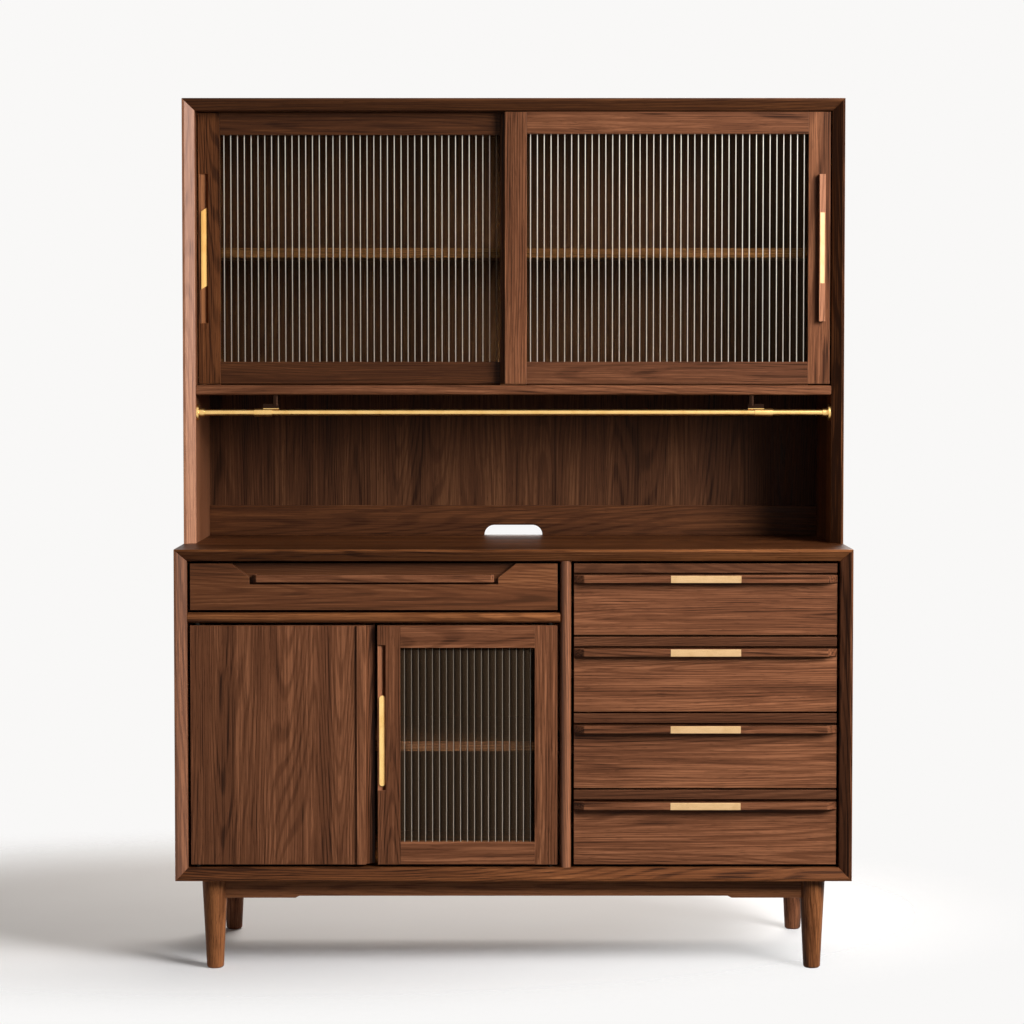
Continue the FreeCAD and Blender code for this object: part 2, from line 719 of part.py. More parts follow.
def rail_flange(label, side):
    """An end flange with a neck around the rail, against a hutch side."""
    plate = (inner - size.flange_thick) * side
    neck = (inner - size.flange_thick - size.neck_length) * side
    profile = [
        (inner * side, rod_bore),
        (inner * side, size.flange_radius),
        (plate, size.flange_radius),
        (plate, size.neck_radius),
        (neck, size.neck_radius),
        (neck, rod_bore),
    ]
    body = turned(label, profile, "X_Axis", "XY_Plane")
    bind(body, "Placement.Base.y", rod_y)
    bind(body, "Placement.Base.z", rod_z)
    return body


def rail_hanger(label, side):
    """A stem under the hutch, with a web and a collar around the rail on its outer side."""
    stem_x = inner - size.hanger_inset
    collar_near = stem_x + size.collar_start
    web_x = span((stem_x - size.stem_radius) * side, (collar_near + size.collar_length / 2) * side)
    collar_x = span(collar_near * side, (collar_near + size.collar_length) * side)
    rod_top = rod_z + size.rod_radius
    web_z = (rod_top + size.web_clear, rod_top + size.stem_clear + size.web_half)
    stem = round_bar(f"{label}_stem", "z", (stem_x * side, rod_y), size.stem_radius,
                     rod_top + size.stem_clear, hutch_floor_low)
    web = block(f"{label}_web", web_x, (rod_y - size.web_half, rod_y + size.web_half), web_z)
    collar = round_bar(f"{label}_collar", "x", (rod_y, rod_z), size.collar_outer, *collar_x)
    bore = round_bar(f"{label}_bore", "x", (rod_y, rod_z), rod_bore, collar_x[0] - PAST, collar_x[1] + PAST)
    return cut(label, fused(f"{label}_joined", [stem, web, collar]), [bore])


keep(group("rail_end_flanges", [rail_flange("flange_left", -1), rail_flange("flange_right", 1)]))
keep(group("rail_hangers", [rail_hanger("hanger_left", -1), rail_hanger("hanger_right", 1)]))


def stile(label, outer, inside, start, low, high):
    """A door stile with a groove for the glass along its inner edge."""
    middle = start + size.front_thick / 2
    near = middle - size.glass_groove_width / 2
    far = middle + size.glass_groove_width / 2
    depth = size.glass_groove_depth
    floor = inside - depth if inside.number > outer.number else inside + depth
    stop = start + size.front_thick
    path = [(outer, start), (inside, start), (inside, near), (floor, near), (floor, far), (inside, far),
            (inside, stop), (outer, stop)]
    return moulding(label, "XY_Plane", path, low, high)


def rail(label, x, start, outer, inside, tongue_end):
    """A door rail with a glass groove, stub tenons and, on a sliding door, a tongue for its track."""
    middle = start + size.front_thick / 2
    near = middle - size.glass_groove_width / 2
    far = middle + size.glass_groove_width / 2
    lower = inside.number > outer.number
    floor = inside - size.glass_groove_depth if lower else inside + size.glass_groove_depth
    shoulder = outer + size.tenon_shoulder if lower else outer - size.tenon_shoulder
    stop = start + size.front_thick
    path = [(start, inside), (near, inside), (near, floor), (far, floor), (far, inside), (stop, inside),
            (stop, outer)]
    if tongue_end is not None:
        path += [(middle + size.tongue_thick / 2, outer), (middle + size.tongue_thick / 2, tongue_end),
                 (middle - size.tongue_thick / 2, tongue_end), (middle - size.tongue_thick / 2, outer)]
    path.append((start, outer))
    blank = moulding(f"{label}_blank", "YZ_Plane", path, *x)
    reach = size.glass_groove_depth - size.edge_play
    heights = span(shoulder, floor)
    left = block(f"{label}_tenon_left", (x[0] - reach, x[0]), (near, far), heights)
    right = block(f"{label}_tenon_right", (x[1], x[1] + reach), (near, far), heights)
    return fused(label, [blank, left, right])


def fluted_glass(label, x, start, low, high):
    """A glass plate with upright flutes on its front face, standing in the groove of the lower rail."""
    middle = start + size.front_thick / 2
    rear = middle + (size.glass_thick + size.flute_rise) / 2
    plate_front = rear - size.glass_thick
    reach = size.glass_groove_depth - size.glass_play
    left = x[0] - reach
    right = x[1] + reach
    bottom = low - size.glass_groove_depth
    top = high + reach
    body = add("PartDesign::Body", label)
    plate = [(left, plate_front), (right, plate_front), (right, rear), (left, rear)]
    pad(body, f"{label}_plate", "XY_Plane", plate, bottom, top)
    # The flutes start and end at equal distances from the two edges of the plate.
    count = math.floor((right - left).number / size.flute_pitch.number)
    first = (left + right) / 2 - size.flute_pitch * (count - 1) / 2
    chord = (size.flute_pitch - size.flute_gap) / 2
    drop = (chord * chord - size.flute_rise * size.flute_rise) / (size.flute_rise * 2)
    crest = plate_front - size.flute_rise
    rib = [
        (first + chord, plate_front),
        (first - chord, plate_front, first, plate_front + drop),
        (first, crest, first, plate_front + drop),
    ]
    flute = pad(body, f"{label}_flute", "XY_Plane", rib, bottom, top)
    flutes = body.newObject("PartDesign::LinearPattern", f"{label}_flutes")
    flutes.Originals = [flute]
    flutes.Direction = (origin_part(body, "X_Axis"), [""])
    body.Tip = flutes
    flutes.Occurrences = count
    bind(flutes, "Length", size.flute_pitch * (count - 1))
    return body


def canted(start, shallow, deep, offset, width):
    """Depth of a canted face at some offset from its shallow edge."""
    return start + shallow + (deep - shallow) * offset / width


# Sliding doors: the left one runs in the rear track, the right one in the front track.
slider_low = hutch_floor_high + size.slider_rise
slider_high = hutch_inner_high - size.slider_top_gap
slider_middle = (slider_low + slider_high) / 2
lower_tongue = hutch_floor_high - size.lower_track + size.seat_play
upper_tongue = slider_high + size.upper_tongue
slider_edge = inner - size.slider_end_gap
slider_meeting = size.slider_overlap / 2


def sliding_frame(label, x, start):
    """Stiles, rails and glass of a sliding door; returns the two bare stiles."""
    inside = (x[0] + size.stile_width, x[1] - size.stile_width)
    left = stile(f"{label}_stile_left", x[0], inside[0], start, slider_low, slider_high)
    right = stile(f"{label}_stile_right", x[1], inside[1], start, slider_low, slider_high)
    glass_low = slider_low + size.stile_width
    glass_high = slider_high - size.stile_width
    lower = rail(f"{label}_rail_lower", inside, start, slider_low, glass_low, lower_tongue)
    upper = rail(f"{label}_rail_upper", inside, start, slider_high, glass_high, upper_tongue)
    keep(group(f"{label}_rails", [lower, upper]))
    keep(fluted_glass(f"{label}_glass", inside, start, glass_low, glass_high))
    return left, right


rear_start = rear_track - size.front_thick / 2
front_start = front_track - size.front_thick / 2
left_stile, left_inner_stile = sliding_frame("left_sliding", (-slider_edge, slider_meeting), rear_start)
slot_x = size.slot_inset - slider_edge
slot_side = size.slot_width / 2
slot_plan = [
    (slot_x - slot_side, rear_start - PAST),
    (slot_x + slot_side, rear_start - PAST),
    (slot_x + slot_side, rear_start + size.slot_depth),
    (slot_x - slot_side, rear_start + size.slot_shallow),
]
slot = moulding("slot_tool", "XY_Plane", slot_plan, slider_middle - size.slot_length / 2,
                slider_middle + size.slot_length / 2)
slotted_stile = cut("left_sliding_slotted_stile", left_stile, [slot])
keep(group("left_sliding_stiles", [slotted_stile, left_inner_stile]))
slot_half = size.slot_inlay_width / 2
slot_reach = size.slot_inlay_length / 2
slot_inlay_front = rear_start - size.inlay_proud
slot_inlay_plan = [
    (slot_x - slot_half, slot_inlay_front),
    (slot_x, slot_inlay_front + size.slot_inlay_fall),
    (slot_x + slot_half, rear_start + size.slot_inlay_set),
    (slot_x + slot_half,
     canted(rear_start, size.slot_shallow, size.slot_depth, slot_side + slot_half, size.slot_width)),
    (slot_x - slot_half,
     canted(rear_start, size.slot_shallow, size.slot_depth, slot_side - slot_half, size.slot_width)),
]
slot_inlay_ends = [
    (slot_x - slot_half, slider_middle - slot_reach),
    (slot_x + slot_half, slider_middle - slot_reach + size.slot_inlay_slant),
    (slot_x + slot_half, slider_middle + slot_reach),
    (slot_x - slot_half, slider_middle + slot_reach - size.slot_inlay_slant),
]
slot_inlay = moulding("left_sliding_inlay_blank", "XY_Plane", slot_inlay_plan, slider_middle - slot_reach,
                      slider_middle + slot_reach)
slot_inlay_trim = moulding("left_sliding_inlay_trim", "XZ_Plane", slot_inlay_ends, slot_inlay_front - PAST,
                           rear_start + size.slot_depth)
keep(shared("left_sliding_inlay", slot_inlay, slot_inlay_trim))

right_inner_stile, right_stile = sliding_frame("right_sliding", (-slider_meeting, slider_edge), front_start)
keep(group("right_sliding_stiles", [right_inner_stile, right_stile]))
pull_x = slider_edge - size.pull_inset
pull_front = front_start - size.pull_proud
pull_half = size.pull_width / 2
pull_plan = [
    (pull_x - pull_half, front_start),
    (pull_x - pull_half, pull_front),
    (pull_x + pull_half, pull_front + size.pull_cant),
    (pull_x + pull_half, front_start),
]
pull_blank = moulding("pull_blank", "XY_Plane", pull_plan, slider_middle - size.pull_length / 2,
                      slider_middle + size.pull_length / 2)
pull_inlay_half = size.pull_inlay_width / 2
pull_inlay_z = (slider_middle - size.pull_inlay_length / 2, slider_middle + size.pull_inlay_length / 2)
pull_near = pull_front + size.pull_cant * (pull_half - pull_inlay_half) / size.pull_width
pull_far = pull_front + size.pull_cant * (pull_half + pull_inlay_half) / size.pull_width
pull_bed_plan = [
    (pull_x - pull_inlay_half, pull_near + size.inlay_sink),
    (pull_x - pull_inlay_half, pull_front - PAST),
    (pull_x + pull_inlay_half, pull_front - PAST),
    (pull_x + pull_inlay_half, pull_far + size.inlay_sink),
]
pull_bed = moulding("pull_bed", "XY_Plane", pull_bed_plan, *pull_inlay_z)
keep(cut("right_sliding_pull", pull_blank, [pull_bed]))
pull_inlay = [
    (pull_x - pull_inlay_half, pull_near + size.inlay_sink),
    (pull_x - pull_inlay_half, pull_near - size.inlay_proud),
    (pull_x, pull_front + size.pull_cant / 2 - size.pull_inlay_ridge),
    (pull_x + pull_inlay_half, pull_far - size.inlay_proud),
    (pull_x + pull_inlay_half, pull_far + size.inlay_sink),
]
keep(moulding("right_sliding_inlay", "XY_Plane", pull_inlay, *pull_inlay_z))

# Hinged doors of the base.
solid_low = size.reveal - inner
glass_high_x = divider_left - size.reveal
glass_low_x = glass_high_x - size.glass_door_width
solid_high = glass_low_x - size.door_meeting
grip_low = solid_high - size.grip_width
tongue_near = face + (size.front_thick - size.grip_tongue_thick) / 2
tongue_far = tongue_near + size.grip_tongue_thick
panel_plan = [
    (solid_low, face),
    (grip_low, face),
    (grip_low, tongue_near),
    (grip_low + size.grip_tongue, tongue_near),
    (grip_low + size.grip_tongue, tongue_far),
    (grip_low, tongue_far),
    (grip_low, face_rear),
    (solid_low, face_rear),
]


def door_pivot_holes(label, x):
    """Drills for the two pivot pins of a hinged door."""
    return [
        pivot_hole(f"{label}_hole_lower", x, door_low, door_low + hole_length),
        pivot_hole(f"{label}_hole_upper", x, door_high - hole_length, door_high),
    ]


panel_blank = moulding("solid_door_blank", "XY_Plane", panel_plan, door_low, door_high)
keep(cut("solid_door_panel", panel_blank, door_pivot_holes("solid_door", solid_pivot_x)))
grip_front = face - size.grip_proud
cove_start = grip_low + size.grip_face
cove_radius = size.grip_width - size.grip_face - size.grip_edge
cove_stop = cove_start + cove_radius
grip_plan = [
    (grip_low, grip_front),
    (cove_start, grip_front, cove_stop, grip_front),
    (cove_stop, grip_front + cove_radius),
    (solid_high, grip_front + cove_radius),
    (solid_high, face_rear),
    (grip_low, face_rear),
    (grip_low, tongue_far),
    (grip_low + size.grip_tongue, tongue_far),
    (grip_low + size.grip_tongue, tongue_near),
    (grip_low, tongue_near),
]
keep(moulding("solid_door_grip_stile", "XY_Plane", grip_plan, door_low, door_high))

glass_inside = (glass_low_x + size.stile_width, glass_high_x - size.stile_width)
pull_stile = stile("glass_door_stile_left", glass_low_x, glass_inside[0], face, door_low, door_high)
hinge_stile = stile("glass_door_stile_right", glass_high_x, glass_inside[1], face, door_low, door_high)
scoop_low = door_low + size.scoop_rise
scoop_high = scoop_low + size.scoop_length
scoop_right = glass_low_x + size.scoop_width
scoop_plan = [
    (glass_low_x - PAST, face - PAST),
    (scoop_right, face - PAST),
    (scoop_right, face + size.scoop_depth),
    (glass_low_x, face + size.scoop_shallow),
    (glass_low_x - PAST, face + size.scoop_shallow),
]
scoop = moulding("scoop_tool", "XY_Plane", scoop_plan, scoop_low, scoop_high)
scooped_stile = cut("glass_door_scooped_stile", pull_stile, [scoop])
drilled_stile = cut("glass_door_drilled_stile", hinge_stile, door_pivot_holes("glass_door", glass_pivot_x))
keep(group("glass_door_stiles", [scooped_stile, drilled_stile]))
pane_low = door_low + size.stile_width
pane_high = door_high - size.stile_width
glass_lower_rail = rail("glass_door_rail_lower", glass_inside, face, door_low, pane_low, None)
glass_upper_rail = rail("glass_door_rail_upper", glass_inside, face, door_high, pane_high, None)
keep(group("glass_door_rails", [glass_lower_rail, glass_upper_rail]))
keep(fluted_glass("glass_door_pane", glass_inside, face, pane_low, pane_high))
brass_left = glass_low_x + size.edge_pull_inset
brass_round = size.edge_pull_width / 2
brass_middle = brass_left + brass_round
brass_right = brass_left + size.edge_pull_width
brass_low = door_low + size.edge_pull_rise
brass_high = brass_low + size.edge_pull_length
brass_near = canted(face, size.scoop_shallow, size.scoop_depth, size.edge_pull_inset, size.scoop_width)
brass_far = canted(face, size.scoop_shallow, size.scoop_depth, size.edge_pull_inset + size.edge_pull_width,
                   size.scoop_width)
brass_plan = [
    (brass_left, brass_near),
    (brass_left, brass_near - size.edge_pull_thick),
    (brass_right, face + size.edge_pull_set),
    (brass_right, brass_far),
]
brass_outline = [
    (brass_left, brass_high - brass_round),
    (brass_left, brass_low + brass_round, brass_middle, brass_low + brass_round),
    (brass_middle, brass_low, brass_middle, brass_low + brass_round),
    (brass_right, brass_low + brass_round),
    (brass_right, brass_high - brass_round, brass_middle, brass_high - brass_round),
    (brass_middle, brass_high, brass_middle, brass_high - brass_round),
]
brass_blank = moulding("glass_door_pull_blank", "XY_Plane", brass_plan, brass_low, brass_high)
brass_ends = moulding("glass_door_pull_ends", "XZ_Plane", brass_outline, face - PAST, face + size.scoop_depth)
keep(shared("glass_door_pull", brass_blank, brass_ends))


def drawer_bar(label, x, bar_front, seat, low, high, end, end_thick):
    """A drawer bar with bevelled ends and, between them, a finger groove behind its lip."""
    plan = [
        (x[0], seat),
        (x[0], seat - end_thick),
        (x[0] + end, bar_front),
        (x[1] - end, bar_front),
        (x[1], seat - end_thick),
        (x[1], seat),
    ]
    blank = moulding(f"{label}_blank", "XY_Plane", plan, low, high)
    groove = block(f"{label}_groove", (x[0] + end, x[1] - end), (bar_front + size.bar_lip, seat + PAST),
                   (high - size.bar_groove, high + PAST))
    return cut(f"{label}_shaped", blank, [groove])


runners = []
box_front = face_rear
box_end = back_face - size.box_rear_gap


def drawer_box(label, bay, low, high):
    """A drawer box in a bay between two walls, with its two runners on those walls."""
    left = bay[0] + size.box_side_gap
    right = bay[1] - size.box_side_gap
    box_low = low + size.box_lift
    box_high = high - size.box_drop
    floor_low = box_low + size.box_floor_rise
    floor_high = floor_low + size.box_floor
    runner_low = (box_low + box_high - size.runner_height) / 2
    runner_high = runner_low + size.runner_height
    runner_front = box_front + size.runner_start
    runner_reach = size.box_side_gap + size.runner_groove - size.runner_end_play
    groove_y = (runner_front - size.seat_play, box_end + PAST)
    groove_z = (runner_low - size.seat_play, runner_high + size.seat_play)
    runners.append(block(f"{label}_runner_left", (bay[0], bay[0] + runner_reach),
                         (runner_front, box_end), (runner_low, runner_high)))
    runners.append(block(f"{label}_runner_right", (bay[1] - runner_reach, bay[1]),
                         (runner_front, box_end), (runner_low, runner_high)))
    sides = []
    for name, wall, groove, floor in (
        ("left", (left, left + size.box_wall), (left - PAST, left + size.runner_groove),
         (left + size.box_wall - size.box_floor_groove, left + size.box_wall + PAST)),
        ("right", (right - size.box_wall, right), (right - size.runner_groove, right + PAST),
         (right - size.box_wall - PAST, right - size.box_wall + size.box_floor_groove)),
    ):
        board = block(f"{label}_{name}_board", wall, (box_front, box_end), (box_low, box_high))
        tools = [
            block(f"{label}_{name}_runner_groove", groove, groove_y, groove_z),
            block(f"{label}_{name}_floor_groove", floor, (box_front - PAST, box_end + PAST),
                  (floor_low, floor_high)),
        ]
        sides.append(cut(f"{label}_{name}_side", board, tools))
    inside = (left + size.box_wall, right - size.box_wall)
    rear = block(f"{label}_back", inside, (box_end - size.box_back, box_end), (floor_high, box_high))
    floor_reach = size.box_floor_groove - size.edge_play
    floor_x = (inside[0] - floor_reach, inside[1] + floor_reach)
    floor = block(f"{label}_floor", floor_x, (box_front, box_end), (floor_low, floor_high))
    keep(group(f"{label}_box", sides + [rear, floor]))


# Wide drawer at the upper left.
left_bay = (-inner, divider_left)
wide_x = (size.reveal - inner, divider_left - size.reveal)
wide_high = inner_high - size.reveal
wide_low = wide_high - size.wide_front_height
wide_middle = (wide_x[0] + wide_x[1]) / 2
wide_bar_high = wide_high - size.bar_drop
wide_bar_low = wide_bar_high - size.bar_height
recess_floor = face + size.recess_depth
recess_low = wide_bar_low - size.recess_gap
recess_outline = [
    (wide_middle - size.recess_top, wide_high + PAST),
    (wide_middle - size.recess_top, wide_high),
    (wide_middle - size.recess_foot, wide_high - size.recess_slope),
    (wide_middle - size.recess_foot, recess_low),
    (wide_middle + size.recess_foot, recess_low),
    (wide_middle + size.recess_foot, wide_high - size.recess_slope),
    (wide_middle + size.recess_top, wide_high),
    (wide_middle + size.recess_top, wide_high + PAST),
]
wide_blank = block("wide_drawer_blank", wide_x, (face, face_rear), (wide_low, wide_high))
recess = moulding("wide_drawer_recess", "XZ_Plane", recess_outline, face - PAST, recess_floor)
keep(cut("wide_drawer_front", wide_blank, [recess]))
wide_bar_x = (wide_middle - size.wide_bar_half, wide_middle + size.wide_bar_half)
wide_bar_front = recess_floor - size.wide_bar_proud
wide_bar = drawer_bar("wide_drawer_bar", wide_bar_x, wide_bar_front, recess_floor, wide_bar_low,
                      wide_bar_high, size.wide_bar_end, size.recess_depth)
finish("wide_drawer_handle", wide_bar)
drawer_box("wide_drawer", left_bay, wide_low, wide_high)

# Four drawers at the right, numbered from the top.
right_bay = (divider_right, inner)
drawer_x = (divider_right + size.reveal, inner - size.reveal)
drawer_middle = (drawer_x[0] + drawer_x[1]) / 2
stack_high = inner_high - size.reveal
stack_low = inner_low + size.reveal
other_height = (stack_high - stack_low - size.top_front_height - size.drawer_gap * 3) / 3
inlay_x = (drawer_middle - size.bar_inlay_length / 2, drawer_middle + size.bar_inlay_length / 2)
bar_front = face - size.bar_proud
drawer_high = stack_high
for number in range(1, 5):
    name = f"drawer_{number}"
    height = size.top_front_height if number == 1 else other_height
    drawer_low = drawer_high - height
    bar_high = drawer_high - size.bar_drop
    bar_low = bar_high - size.bar_height
    blank = block(f"{name}_blank", drawer_x, (face, face_rear), (drawer_low, drawer_high))
    groove = block(f"{name}_groove", (drawer_x[0] - PAST, drawer_x[1] + PAST),
                   (face - PAST, face + size.front_groove_depth),
                   (bar_high - size.bar_groove, bar_high + size.front_groove_rise))
    keep(cut(f"{name}_front", blank, [groove]))
    bar = drawer_bar(f"{name}_bar", drawer_x, bar_front, face, bar_low, bar_high, size.bar_end,
                     size.bar_end_thick)
    bed_y = (bar_front - PAST, bar_front + size.inlay_sink)
    bed = block(f"{name}_bed", inlay_x, bed_y, (bar_low - PAST, bar_high + PAST))
    keep(cut(f"{name}_handle", bar, [bed]))
    inlay_section = [
        (bar_front + size.inlay_sink, bar_low),
        (bar_front, bar_low),
        (bar_front - size.inlay_proud, bar_low + size.inlay_proud * 2),
        (bar_front - size.inlay_proud, bar_high - size.inlay_proud * 2),
        (bar_front, bar_high),
        (bar_front + size.inlay_sink, bar_high),
    ]
    keep(moulding(f"{name}_inlay", "YZ_Plane", inlay_section, *inlay_x))
    drawer_box(name, right_bay, drawer_low, drawer_high)
    drawer_high = drawer_low - size.drawer_gap
keep(group("drawer_runners", runners))

doc.recompute()
for piece in doc.Objects:
    if "Invalid" in piece.State or "Error" in piece.State:
        raise RuntimeError(f"{piece.Label}: {piece.State}")
os.makedirs("parts", exist_ok=True)
for label, piece in nodes.items():
    shape = piece.Shape
    if shape.isNull() or not shape.isValid() or not shape.Solids:
        raise RuntimeError(f"{label}: no valid solid")
    if len(shape.Solids) == 1:
        shape = shape.Solids[0]
    shape.exportStep(f"parts/{label}.step")
print(len(nodes), "nodes exported")
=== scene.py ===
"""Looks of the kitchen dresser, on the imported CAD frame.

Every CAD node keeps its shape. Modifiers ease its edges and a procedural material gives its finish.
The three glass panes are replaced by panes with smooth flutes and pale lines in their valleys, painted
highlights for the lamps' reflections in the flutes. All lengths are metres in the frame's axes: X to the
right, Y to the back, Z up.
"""

import math

import bpy
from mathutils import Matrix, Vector


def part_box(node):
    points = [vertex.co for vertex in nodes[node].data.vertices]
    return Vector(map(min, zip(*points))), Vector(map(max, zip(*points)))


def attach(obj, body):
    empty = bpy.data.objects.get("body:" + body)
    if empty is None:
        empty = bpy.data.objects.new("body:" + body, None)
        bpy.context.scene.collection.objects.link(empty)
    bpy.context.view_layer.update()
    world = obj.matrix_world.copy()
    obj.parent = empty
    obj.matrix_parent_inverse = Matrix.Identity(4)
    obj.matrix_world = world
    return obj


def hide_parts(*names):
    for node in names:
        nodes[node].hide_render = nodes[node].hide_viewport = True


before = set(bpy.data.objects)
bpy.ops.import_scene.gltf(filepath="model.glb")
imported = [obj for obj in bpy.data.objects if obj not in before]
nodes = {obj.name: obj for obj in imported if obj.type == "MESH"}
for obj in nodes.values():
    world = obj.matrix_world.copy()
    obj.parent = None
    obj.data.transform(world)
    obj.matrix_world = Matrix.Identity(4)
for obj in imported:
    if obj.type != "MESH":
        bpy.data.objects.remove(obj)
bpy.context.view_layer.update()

# Camera, worked out from the photograph's vanishing point and the known widths at three depths.
CAMERA_PLACE = (-0.0031, -5.514, 1.2283)
CAMERA_LENS = 93.9
CAMERA_PITCH = math.radians(2.46)
SENSOR_WIDTH = 36.0
CAMERA_SHIFT = -0.04

# Grain directions: the turn that brings each frame axis to the Z axis of the wood's own coordinates.
QUARTER = math.pi / 2
GRAIN_TURN = {"X": (0.0, -QUARTER, 0.0), "Y": (QUARTER, 0.0, 0.0), "Z": (0.0, 0.0, 0.0)}

# CAD nodes of each wood and metal. Upright, level and deep boards have their grain along Z, X and Y.
UPRIGHT_WALNUT = (
    "base_side_left", "base_side_right", "base_divider", "front_legs", "rear_legs",
    "hutch_side_left", "hutch_side_right", "left_sliding_stiles", "right_sliding_stiles",
    "right_sliding_pull", "solid_door_panel", "solid_door_grip_stile", "glass_door_stiles",
)
LEVEL_WALNUT = (
    "base_top_panel", "base_bottom_panel", "drawer_deck", "base_shelf", "apron_front", "apron_rear",
    "hutch_top_panel", "hutch_bottom_panel", "hutch_upstand", "left_sliding_rails",
    "right_sliding_rails", "glass_door_rails", "wide_drawer_front", "wide_drawer_handle",
    "drawer_1_front", "drawer_2_front", "drawer_3_front", "drawer_4_front",
    "drawer_1_handle", "drawer_2_handle", "drawer_3_handle", "drawer_4_handle",
)
DEEP_WALNUT = ("apron_sides",)
GOLDEN_BOARDS = ("hutch_shelf",)
BACK_PANELS = ("base_back_panel", "hutch_back_panel")
DRAWER_BOXES = ("wide_drawer_box", "drawer_1_box", "drawer_2_box", "drawer_3_box", "drawer_4_box")
RUNNERS = ("drawer_runners",)
RAIL_BRASS = ("rail_rod", "rail_end_flanges")
HANGERS = ("rail_hangers",)
LEVEL_BRASS = ("drawer_1_inlay", "drawer_2_inlay", "drawer_3_inlay", "drawer_4_inlay")
CANTED_BRASS = ("left_sliding_inlay",)
LIT_BRASS = ("right_sliding_inlay",)
UPRIGHT_BRASS = ("glass_door_pull",)
STEEL = ("door_pivot_pins", "shelf_pins")

# Boards of one tree differ, and the light falls on each its own way: how much lighter or darker these are
# than their palette, as in the photograph. This is partly the boards' own tone and partly painted light and
# shade, such as the darker right sides.
BOARD_TONE_AND_LIGHT = {
    "left_sliding_rails": 0.04,
    "left_sliding_stiles": -0.18,
    "right_sliding_rails": -0.08,
    "right_sliding_stiles": 0.02,
    "hutch_side_right": -0.14,
    "hutch_top_panel": 0.06,
    "hutch_upstand": 0.03,
    "hutch_shelf": -0.05,
    "base_shelf": 0.10,
    "base_top_panel": 0.12,
    "hutch_side_left": -0.38,
    "base_side_left": 0.06,
    "base_side_right": -0.12,
    "base_divider": 0.18,
    "base_bottom_panel": -0.19,
    "drawer_deck": -0.12,
    "wide_drawer_front": -0.04,
    "wide_drawer_handle": -0.06,
    "solid_door_grip_stile": 0.10,
    "glass_door_rails": 0.03,
    "drawer_1_front": 0.05,
    "drawer_2_front": 0.07,
    "drawer_3_front": 0.03,
    "drawer_4_front": 0.03,
    "drawer_1_handle": -0.09,
    "drawer_2_handle": -0.10,
    "drawer_3_handle": -0.10,
    "drawer_4_handle": -0.10,
    "apron_front": 0.25,
    "front_legs": 0.08,
}

# Walnut boards that are paler, warmer, darker or more even than the rest. The paler palette is a painted
# highlight on the left hutch side's bevel and on the right pull's front. The darker palette is painted shade
# on boards that lie in shade, and the warmer one is painted shade colour, the deeper hue of wood in shade.
# The even palette has a quieter figure.
HIGHLIGHTED_BOARDS = ("hutch_side_left", "right_sliding_pull")
WARM_BOARDS = (
    "base_top_panel", "base_bottom_panel", "drawer_deck", "front_legs", "hutch_side_right",
    "left_sliding_stiles",
)
SHADED_BOARDS = ("hutch_top_panel", "hutch_upstand", "left_sliding_rails")
EVEN_BOARDS = ("wide_drawer_front", "apron_front")

# Weight of the lacquer on most boards, and on those that shine more or less.
LACQUER = 0.08
BACK_LACQUER = 0.02
INNER_LACQUER = 0.04
GOLDEN_LACQUER = 0.0
BOARD_LACQUER = {
    "hutch_side_left": 0.7,
    "base_side_left": 0.55,
    "base_divider": 0.4,
    "base_top_panel": 0.04,
    "hutch_side_right": 0.02,
    "base_shelf": 0.0,
    "base_side_right": 0.04,
}
# The lacquer's roughness, the shine of the wood below it, and the relief of the grain.
LACQUER_ROUGHNESS = 0.3
WOOD_SPECULAR = 0.05
WOOD_BUMP = 0.18
WOOD_BUMP_DEPTH = 0.0004

# Painted highlights along the wood's edges: how far the colour goes toward the palette's light colour,
# and how wide. The likeness of the eased and the sharp normal goes from the first number, on a face, to the
# second, at an edge.
EDGE_HIGHLIGHT = 0.35
EDGE_WIDTH = 0.002
EDGE_SAMPLES = 4
EDGE_LIKENESS = (0.995, 0.90)

# Parts of a board that are lighter or darker: the tone, and two corners of the box that holds the part.
# Painted light lightens two finger hollows and the left hutch side's bevel. Painted shade darkens the right
# hutch side's bevel, the grip stile's cove and the counter top. The left front leg is lighter.
LIGHT_AND_TONE_PATCHES = {
    "hutch_side_left": (0.46, (-0.6745, -0.0575, 0.840), (-0.6000, -0.0408, 1.760)),
    "hutch_side_right": (-0.27, (0.6000, -0.0575, 0.840), (0.6745, -0.0408, 1.760)),
    "left_sliding_stiles": (0.8, (-0.642, -0.0105, 1.290), (-0.624, 0.0100, 1.610)),
    "solid_door_grip_stile": (-0.34, (-0.2945, -0.2100, 0.200), (-0.2700, -0.1700, 0.700)),
    "glass_door_stiles": (0.7, (-0.272, -0.2025, 0.360), (-0.2555, -0.1900, 0.653)),
    "base_top_panel": (-0.44, (-0.700, -0.2200, 0.8445), (0.700, 0.2300, 0.850)),
    "front_legs": (0.18, (-0.700, -0.2300, 0.000), (0.000, 0.0000, 0.250)),
}
# Parts of a board darkened with painted shade: the share of the palette's dark colour, and two corners of
# the box that holds the part. The shade is painted on the base shelf behind its front edge, in the wide
# drawer's finger recess and on the right sliding door's lower rail.
PAINTED_SHADE_PARTS = {
    "base_shelf": (0.85, (-0.700, -0.1635, 0.400), (0.150, 0.2300, 0.500)),
    "wide_drawer_front": (0.55, (-0.646, -0.2025, 0.722), (0.088, -0.1835, 0.817)),
    "right_sliding_rails": (0.34, (-0.100, -0.0400, 1.150), (0.700, 0.0000, 1.240)),
}
# Each drawer of the stack has a strip above its bar darkened with painted shade. The strip's box starts
# before the face.
DRAWER_FRONTS = ("drawer_1_front", "drawer_2_front", "drawer_3_front", "drawer_4_front")
STRIP_HEIGHT = 0.023
STRIP_SHADE = 0.58
FACE_MARGIN = 0.023

